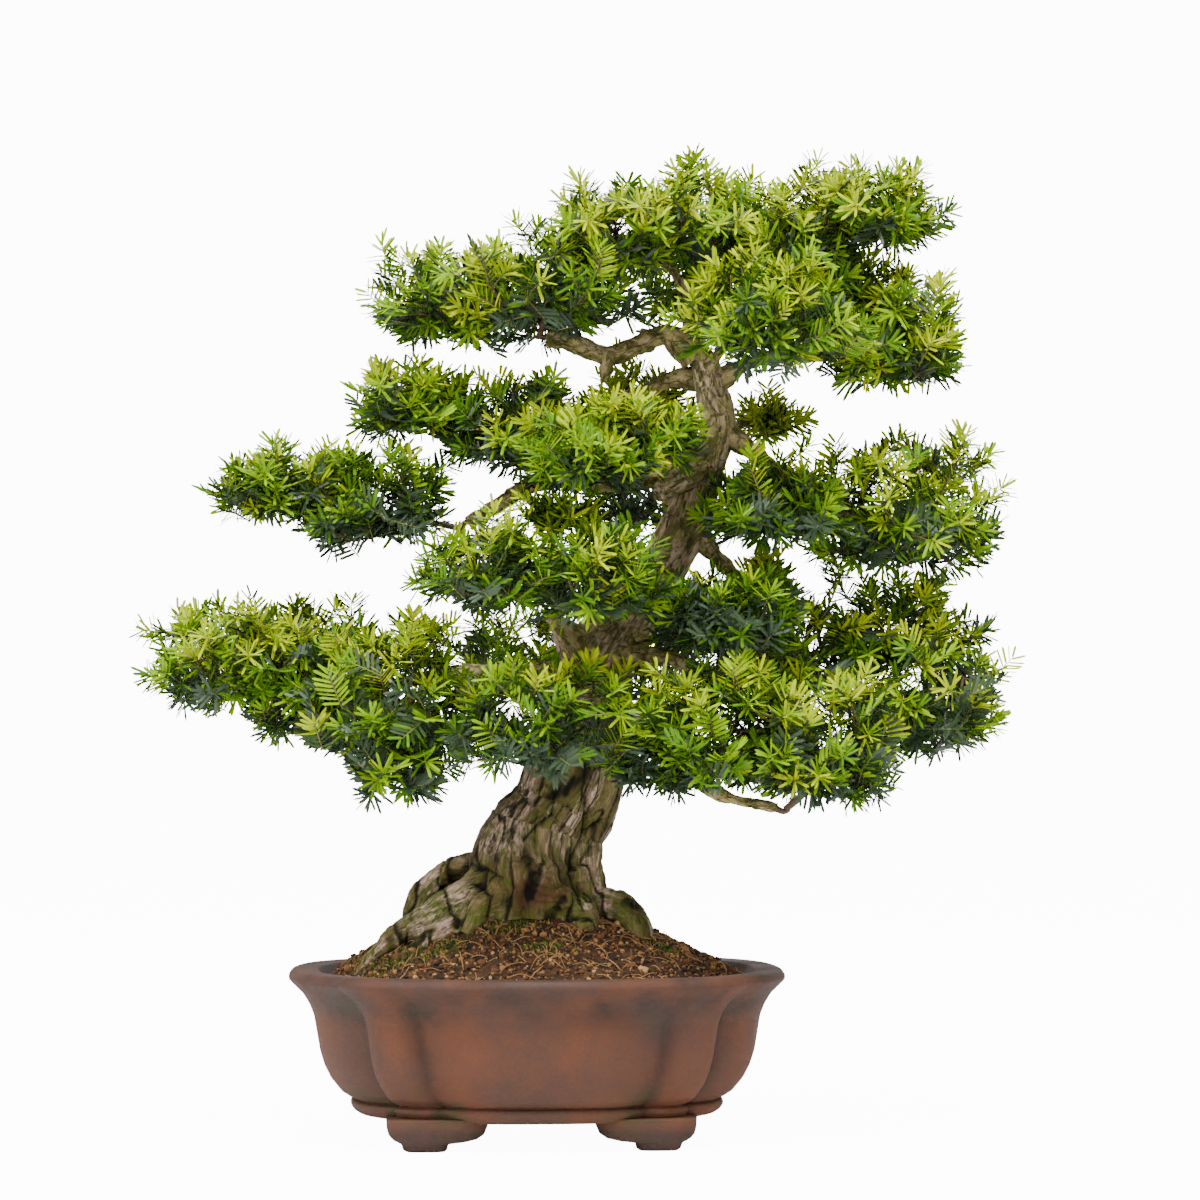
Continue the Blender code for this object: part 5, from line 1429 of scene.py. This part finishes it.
@dataclass
class Foliage:
    """Grows one mass: runs to its hubs, twigs to the lens, and leafy shoots along the twigs."""

    mass: Mass
    tips_per_spray: float = 9.0
    hub_drop: float = 0.12
    path_weight: float = 0.3
    fork_shares: tuple[float, ...] = (0.45, 0.72, 1.0)
    stem_run: float = 9.0
    inset: float = 17.0
    inset_swing: float = 10.0
    stray_share: float = 0.07
    stray_inset: float = 5.0
    lump_size: float = 22.0
    patch_size: float = 30.0
    star_length: float = 13.0
    star_spacing: float = 0.80
    feather_share: float = 0.42
    feather_spacing: float = 2.05
    old_spacing: float = 1.35
    leaf_length: float = 19.5
    leaf_half_width: float = 1.38
    dull_share: float = 0.5
    # Tones by brightness: the brightness carries painted light and shade as well as the needles' age.
    tones: tuple = ((Tone.FRESH, 0.58, 9.0), (Tone.YOUNG, 0.40, 0.58), (Tone.GROWN, 0.24, 0.40),
                    (Tone.OLD, -9.0, 0.24))
    twigs: list[Array] = field(default_factory=list)
    twig_radii: list[Array] = field(default_factory=list)
    runs: list[Array] = field(default_factory=list)
    shoots: Shoots = field(default_factory=Shoots)

    def grow(self) -> None:
        """Grow the mass on from its bough's tip."""
        rng = np.random.default_rng(self.mass.seed)
        limb = next(limb for limb in LIMBS if limb.name == self.mass.limb)
        line = limb.line(36.0)[:, :3]
        heading = unit(line[-1] - line[-2])
        knee = line[-1] + heading * self.stem_run
        places, ways = [knee - heading * 2.5], [0.0]
        self.runs.append(np.vstack([line[-1] - heading * 4.0, knee]))
        for clump in self.mass.clumps:
            self.grow_clump(clump, places, ways, rng)

    def grow_clump(self, clump: Clump, places: list[Array], ways: list[float],
                   rng: np.random.Generator) -> None:
        """Grow one clump from the nearest fork.

        Args:
            clump: The lens to fill.
            places: Forks that twigs can leave from; new ones are added.
            ways: Each fork's way back to the stem.
            rng: The mass's own chance.
        """
        hub = clump.level() - UP * (clump.half[2] * self.hub_drop)
        source, way = self.nearest(places, ways, hub)
        self.runs.append(np.vstack([source, hub]))
        for share in self.fork_shares:
            place = source + (hub - source) * share
            places.append(place)
            ways.append(way + float(np.linalg.norm(place - source)))
        count = round(clump.sprays * self.tips_per_spray)
        order = np.arange(count)
        height = 0.97 - 1.8 * (order + 0.5) / count + rng.uniform(-0.06, 0.06, count)
        height = np.clip(height, -0.98, 0.99)
        turn = order * GOLDEN_TURN + rng.uniform(-0.25, 0.25, count)
        level = np.sqrt(1.0 - height**2)
        directions = np.column_stack([np.cos(turn) * level, np.sin(turn) * level, height])
        tips = clump.reach(directions)
        inset = self.inset + self.inset_swing * noise(tips / self.lump_size, self.mass.seed)
        inset = np.where(rng.random(count) < self.stray_share, self.stray_inset, inset)
        tips = tips - unit(tips - hub) * inset[:, None]
        inner = rng.random(count) < 0.28
        depth = np.where(inner, rng.uniform(0.5, 0.8, count), rng.uniform(0.86, 1.0, count))
        tips = hub + (tips - hub) * depth[:, None]
        for index in np.argsort(np.linalg.norm(tips - hub, axis=1)):
            self.grow_twig(clump, hub, tips[index], places, ways, rng)

    def nearest(self, places: list[Array], ways: list[float], tip: Array) -> tuple[Array, float]:
        """Return the fork with the shortest way to a tip, counting part of its way back."""
        rows = np.array(places)
        far = np.linalg.norm(rows - tip, axis=1) + self.path_weight * np.array(ways)
        best = int(np.argmin(far))
        return rows[best], ways[best]

    def grow_twig(self, clump: Clump, hub: Array, tip: Array, places: list[Array],
                  ways: list[float], rng: np.random.Generator) -> None:
        """Grow one bent twig to its tip and set its shoots.

        The twig is the curve (1-t)^2 fork + 2t(1-t) bend + t^2 tip.

        Args:
            clump: The lens that the tip lies in.
            hub: The clump's hub.
            tip: Where the twig ends.
            places: Forks; new ones are added.
            ways: Each fork's way back to the stem.
            rng: The mass's own chance.
        """
        fork, way = self.nearest(places, ways, tip - unit(tip - hub) * 20.0)
        length = float(np.linalg.norm(tip - fork))
        if length < 10.0:
            return
        bend = fork + (tip - fork) * 0.55 + rng.normal(0.0, 0.07, 3) * length - UP * 0.08 * length
        t = np.linspace(0.0, 1.0, 6)[:, None]
        path = (1 - t) ** 2 * fork + 2 * t * (1 - t) * bend + t**2 * tip
        self.twigs.append(path)
        root_radius = 0.75 + 0.009 * length
        self.twig_radii.append(root_radius + (0.5 - root_radius) * t[:, 0])
        for share in (2, 4):
            places.append(path[share])
            ways.append(way + length * share / 5)
        out = unit((tip - clump.level()) / np.array(clump.half))
        rise = 0.30 + 0.35 * max(float(out[2]), 0.0)
        heading = unit(unit(path[-1] - path[-3]) + UP * rise + rng.normal(0.0, 0.24, 3))
        reach = min(float(rng.uniform(26.0, 42.0)), length * 0.85)
        light = self.light_at(clump, tip) + rng.normal(0.06, 0.13)
        self.shoots.add(tip - heading * reach * 0.8, heading, out, reach, light)
        side = unit(np.cross(heading, UP) + rng.normal(0.0, 0.35, 3))
        count = 1 + int(length > 24) + int(length > 48)
        for index in range(count):
            share = 0.4 + 0.5 * (index + rng.random()) / count
            at = (1 - share) ** 2 * fork + 2 * share * (1 - share) * bend + share**2 * tip
            hand = 1.0 if (index + int(rng.random() < 0.3)) % 2 else -1.0
            angle = rng.uniform(0.7, 1.15)
            lift = rng.uniform(-0.05, 0.55)
            axis = unit(heading * math.cos(angle) + side * hand * math.sin(angle) + UP * lift)
            size = float(rng.uniform(20.0, 32.0))
            light = self.light_at(clump, at + axis * size) + rng.normal(0.0, 0.13)
            light -= 0.24 * float(rng.random() < self.dull_share)
            self.shoots.add(at, axis, out, size, light)

    def light_at(self, clump: Clump, place: Array) -> float:
        """Return how bright a place's needles are, by its height, its way out, the clump's extra light and
        patches of age: painted light and shade, brighter high up, on top and towards the rim, darker
        underneath, over the real lighter new growth on top.
        """
        offset = (place - np.array(clump.centre)) / np.array(clump.half)
        rim = 0.18 * (float(np.hypot(offset[0], offset[1])) - 0.5)
        patch = 0.17 * float(noise(place[None] / self.patch_size, 71)[0])
        # Painted light: needles higher on the tree are made brighter.
        tall = 0.08 * float(place[2] - 560.0) / 220.0
        return 0.48 + clump.light + 0.30 * float(offset[2]) + rim + patch + tall

    def needles(self) -> dict[Tone, Array]:
        """Return the needles' points for each tone, as (needles, corners, 3).

        Some shoots end in a star: this year's needles stand close and all round the last stretch,
        lean forward towards the tip and are bright, and last year's stand behind them in two dark
        ranks. The others are feathers, with bright needles in two ranks all the way.
        """
        rng = np.random.default_rng(self.mass.seed + 500)
        length, light = np.array(self.shoots.length), np.array(self.shoots.light)
        feather = rng.random(len(length)) < self.feather_share
        star = rng.uniform(0.8, 1.15, len(length)) * self.star_length
        bright, bright_light = self.stars(length, light, star, feather, rng)
        flat, flat_light = self.feathers(length, light, feather, rng)
        old, old_light = self.old_ranks(length, light, star, feather, rng)
        found: dict[Tone, list[Array]] = {tone: [] for tone in Tone}
        for points, level in ((bright, bright_light), (flat, flat_light)):
            for tone, low, high in self.tones:
                chosen = points[(level >= low) & (level < high)]
                if tone is Tone.OLD:
                    old = np.concatenate([old, chosen[:, :len(STRAP)]])
                    old_light = np.concatenate([old_light, level[(level >= low) & (level < high)]])
                else:
                    found[tone].append(chosen)
        # The dimmest old needles take the grey-blue shaded tone: painted shade on the undersides.
        shaded = old_light + rng.normal(0.0, 0.08, len(old)) < 0.20
        found[Tone.OLD].append(old[~shaded])
        found[Tone.SHADED].append(old[shaded])
        return {tone: np.concatenate(blocks) for tone, blocks in found.items()}

    def stars(self, length: Array, light: Array, star: Array, feather: Array,
              rng: np.random.Generator) -> tuple[Array, Array]:
        """Return the needles of the stars at the shoots' tips, with how bright each is."""
        count = np.where(feather, 0, np.round(star / self.star_spacing)).astype(int)
        shoot, share = spread(count)
        turn = np.arange(len(shoot)) * GOLDEN_TURN + rng.normal(0.0, 0.15, len(shoot))
        lean = np.radians(78.0 - 46.0 * share**1.5 + rng.normal(0.0, 6.0, len(shoot)))
        start = length[shoot] - star[shoot] * (1.0 - share)
        size = self.leaf_length * (1.0 - 0.25 * share**2) * rng.uniform(0.85, 1.1, len(shoot))
        points = self.blades(shoot, start, turn, lean, size, BLADE, rng, 0.7)
        return points, light[shoot] + 0.14 * (share - 0.5) + rng.normal(0.0, 0.03, len(shoot))

    def feathers(self, length: Array, light: Array, feather: Array,
                 rng: np.random.Generator) -> tuple[Array, Array]:
        """Return the needles of the feathers, in two ranks that narrow to the tip."""
        count = np.where(feather, np.round(length / self.feather_spacing), 0).astype(int)
        shoot, share = spread(count)
        hand = np.where(np.arange(len(shoot)) % 2 == 0, 1.0, -1.0)
        turn = hand * (1.30 + rng.normal(0.0, 0.10, len(shoot)))
        lean = np.radians(66.0 - 38.0 * share**3 + rng.normal(0.0, 3.5, len(shoot)))
        size = self.leaf_length * (0.72 + 0.9 * share - 1.05 * share**2) * rng.uniform(0.94, 1.06, len(shoot))
        points = self.blades(shoot, length[shoot] * (0.06 + 0.94 * share), turn, lean, size, BLADE, rng, 1.0)
        return points, light[shoot] - 0.10 + 0.08 * (share - 0.5) + rng.normal(0.0, 0.02, len(shoot))

    def old_ranks(self, length: Array, light: Array, star: Array, feather: Array,
                  rng: np.random.Generator) -> tuple[Array, Array]:
        """Return last year's needles behind the stars, in two ranks, with how well lit each is."""
        reach = length - star * 0.7
        count = np.where(feather, 0, np.maximum(4, np.round(reach / self.old_spacing))).astype(int)
        shoot, share = spread(count)
        hand = np.where(np.arange(len(shoot)) % 2 == 0, 1.0, -1.0)
        turn = hand * (1.40 + rng.normal(0.0, 0.25, len(shoot)))
        lean = np.radians(62.0 + rng.normal(0.0, 8.0, len(shoot)))
        size = self.leaf_length * rng.uniform(0.8, 1.05, len(shoot))
        return self.blades(shoot, reach[shoot] * share, turn, lean, size, STRAP, rng, 1.0), light[shoot]

    def blades(self, shoot: NDArray[np.int64], start: Array, turn: Array, lean: Array, size: Array,
               shape: Array, rng: np.random.Generator, flatness: float) -> Array:
        """Return the corners of needles set on shoots.

        A needle points along axis cos(lean) + spoke sin(lean), where the spoke is turned about the
        axis, and bows by a share of its length times the square of the way along it.

        Args:
            shoot: The shoot of each needle.
            start: How far along its shoot each needle stands.
            turn: Each needle's turn about its shoot from the upper side.
            lean: Each needle's angle from its shoot.
            size: Each needle's length.
            shape: The needle's corners as shares.
            rng: The mass's own chance.
            flatness: Share that the spoke keeps of its height over the shoot's level.

        Returns:
            Points as (needles, corners, 3).
        """
        axis, face, shown = self.faces()
        a, f = axis[shoot], face[shoot]
        across = np.cross(a, f)
        spoke = unit(f * (np.cos(turn) * flatness)[:, None] + across * np.sin(turn)[:, None])
        way = unit(a * np.cos(lean)[:, None] + spoke * np.sin(lean)[:, None])
        over_edge = unit(np.cross(way, shown[shoot] + rng.normal(0.0, 0.25, a.shape)))
        over = np.cross(over_edge, way)
        width = self.leaf_half_width * rng.uniform(0.9, 1.1, (len(shoot), 1, 1))
        foot = np.array(self.shoots.root)[shoot] + a * start[:, None]
        bow = rng.uniform(-0.12, 0.12, (len(shoot), 1, 1)) * shape[None, :, :1] ** 2
        points = foot[:, None] + way[:, None] * shape[None, :, :1] * size[:, None, None]
        points += over_edge[:, None] * shape[None, :, 1:2] * width
        points += over[:, None] * (shape[None, :, 2:3] * width - bow * size[:, None, None])
        return points

    def faces(self) -> tuple[Array, Array, Array]:
        """Return each shoot's heading, its upper side and the way that its needles' faces turn."""
        rng = np.random.default_rng(self.mass.seed + 600)
        axis, out = unit(np.array(self.shoots.axis)), np.array(self.shoots.out)
        face = UP + 0.6 * out + rng.normal(0.0, 0.25, axis.shape)
        face = unit(face - axis * np.sum(face * axis, axis=1, keepdims=True))
        shown = unit(0.25 * axis + 0.75 * face + 0.65 * out + rng.normal(0.0, 0.2, axis.shape))
        return axis, face, shown

    def stems(self) -> Surface:
        """Return the shoots' own thin stems."""
        root, axis = np.array(self.shoots.root), unit(np.array(self.shoots.axis))
        length = np.array(self.shoots.length)[:, None, None]
        t = np.array([0.0, 0.5, 0.96])[None, :, None]
        surface = Surface()
        paths = root[:, None] + axis[:, None] * length * t
        add_tubes(surface, paths, np.broadcast_to(np.array([0.7, 0.6, 0.35]), paths.shape[:2]), 3)
        return surface

    def wood(self) -> Surface:
        """Return the runs and twigs as tubes."""
        surface = Surface()
        add_tubes(surface, np.array(self.twigs), np.array(self.twig_radii), 5)
        for run in self.runs:
            rng = np.random.default_rng(self.mass.seed + 900)
            t = np.linspace(0.0, 1.0, 16)[:, None]
            path = run[0] + (run[1] - run[0]) * t
            path = path + np.sin(np.pi * t) * rng.normal(0.0, 2.0, 3)
            sway = np.column_stack([noise(path / 14.0, 33 + k) for k in range(3)])
            path = path + 1.2 * sway * np.sin(np.pi * t)
            radii = (3.0 - 0.9 * t[:, 0]) * (1.0 + 0.12 * noise(path / 6.0, 36))
            add_tubes(surface, path[None], radii[None], 10)
        return surface


def spread(count: NDArray[np.int64]) -> tuple[NDArray[np.int64], Array]:
    """Return, for needles dealt to shoots, each one's shoot and its share of the way along."""
    shoot = np.repeat(np.arange(len(count)), count)
    order = np.arange(count.sum()) - np.repeat(np.cumsum(count) - count, count)
    return shoot, (order + 0.5) / count[shoot]


class AllFoliage:
    """All masses of foliage."""

    def build(self) -> None:
        """Grow every mass and dress its needles, stems and twigs."""
        materials = {tone: tone.value.build() for tone in Tone}
        twig_brown = PlainFinish("twig_brown", (0.115, 0.068, 0.040), 0.8).build()
        stem_green = PlainFinish("stem_green", (0.22, 0.21, 0.05), 0.6).build()
        total = 0
        for mass in MASSES:
            foliage = Foliage(mass)
            foliage.grow()
            for tone, points in foliage.needles().items():
                if not len(points):
                    continue
                surface = Surface()
                faces = BLADE_FACES if points.shape[1] == len(BLADE) else STRAP_FACES
                block = faces[None] + (np.arange(len(points)) * points.shape[1])[:, None, None]
                surface.add(points.reshape(-1, 3), block.reshape(-1, 3))
                name = f"{mass.name}_{tone.value.name}"
                show(surface.piece(name, smooth=False), materials[tone], [mass.name])
                total += len(points)
            show(foliage.wood().piece(mass.name + "_twigs"), twig_brown, [mass.name])
            show(foliage.stems().piece(mass.name + "_stems"), stem_green, [mass.name])
        LOG.info("%d needles", total)


# Studio


@dataclass
class Studio:
    """The camera, the pale floor with its curved back, and soft light."""

    camera_place: Colour = (0.0157, -3.4, 0.371)
    target: Colour = (0.0157, 0.0, 0.456)
    lens: float = 120.0
    floor_glow: float = 12.0

    def build(self) -> None:
        """Set up camera, floor and light."""
        self.build_camera()
        self.build_floor()
        self.build_light()

    def build_camera(self) -> None:
        """Make the camera, aimed at the target."""
        data = bpy.data.cameras.new("camera")
        data.lens = self.lens
        data.sensor_width = 36.0
        data.clip_end = 200.0
        camera = bpy.data.objects.new("camera", data)
        bpy.context.scene.collection.objects.link(camera)
        camera.location = self.camera_place
        run = [b - a for a, b in zip(self.camera_place, self.target)]
        camera.rotation_euler = (math.pi / 2 + math.atan2(run[2], run[1]), 0.0, 0.0)
        bpy.context.scene.camera = camera

    def build_floor(self) -> None:
        """Make a floor that curves up to a far wall."""
        turn = np.linspace(0.0, np.pi / 2, 13)
        bend = [(40.0 + 20.0 * math.sin(a), 20.0 - 20.0 * math.cos(a)) for a in turn]
        profile = [(-60.0, 0.0)] + bend + [(60.0, 60.0)]
        rows = np.array([[(x, y, z) for x in (-60.0, 60.0)] for y, z in profile]) / MM
        surface = Surface()
        surface.add(rows.reshape(-1, 3), grid_faces(len(profile), 2, False))
        floor = surface.piece("studio_floor")
        sheet, shader, material = new_material("studio_white")
        shader.inputs["Base Color"].default_value = (0.9, 0.9, 0.9, 1.0)
        shader.inputs["Roughness"].default_value = 0.9
        shader.inputs["Emission Color"].default_value = (1.0, 1.0, 1.0, 1.0)
        seen = sheet.node("ShaderNodeLightPath").outputs["Is Camera Ray"]
        sheet.feed(shader.inputs["Emission Strength"], sheet.work("MULTIPLY", seen, self.floor_glow))
        floor.data.materials.append(material)

    def build_light(self) -> None:
        """Light the scene with a white sky and soft lamps above, to the left and behind."""
        world = bpy.data.worlds.new("studio")
        world.use_nodes = True
        world.node_tree.nodes["Background"].inputs["Color"].default_value = (1.0, 1.0, 1.0, 1.0)
        world.node_tree.nodes["Background"].inputs["Strength"].default_value = 0.88
        bpy.context.scene.world = world
        for name, place, power, size in (("key", (0.10, -1.45, 2.95), 124.0, 1.0),
                                         ("fill", (-2.4, -1.7, 1.5), 42.0, 1.0),
                                         ("back", (0.5, 1.8, 2.5), 30.0, 1.5)):
            data = bpy.data.lights.new(name, "AREA")
            data.energy = power
            data.size = size
            lamp = bpy.data.objects.new(name, data)
            bpy.context.scene.collection.objects.link(lamp)
            lamp.location = place
            run = np.array([0.0, 0.0, 0.45]) - np.array(place)
            tilt = math.atan2(math.hypot(run[0], run[1]), -run[2])
            lamp.rotation_euler = (tilt, 0.0, math.atan2(run[1], run[0]) - math.pi / 2)


def main() -> None:
    """Build the plant, its pot and the studio."""
    logging.basicConfig(level=logging.INFO, format="%(message)s")
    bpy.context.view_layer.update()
    mottle = mottle_group()
    pot = Pot()
    soil = Soil(pot=pot)
    pot.build(ClayFinish().build(mottle))
    soil.build(EarthFinish().build(mottle))
    Wood(soil).build(BarkFinish().build(mottle))
    AllFoliage().build()
    Studio().build()


if __name__ == "__main__":
    main()
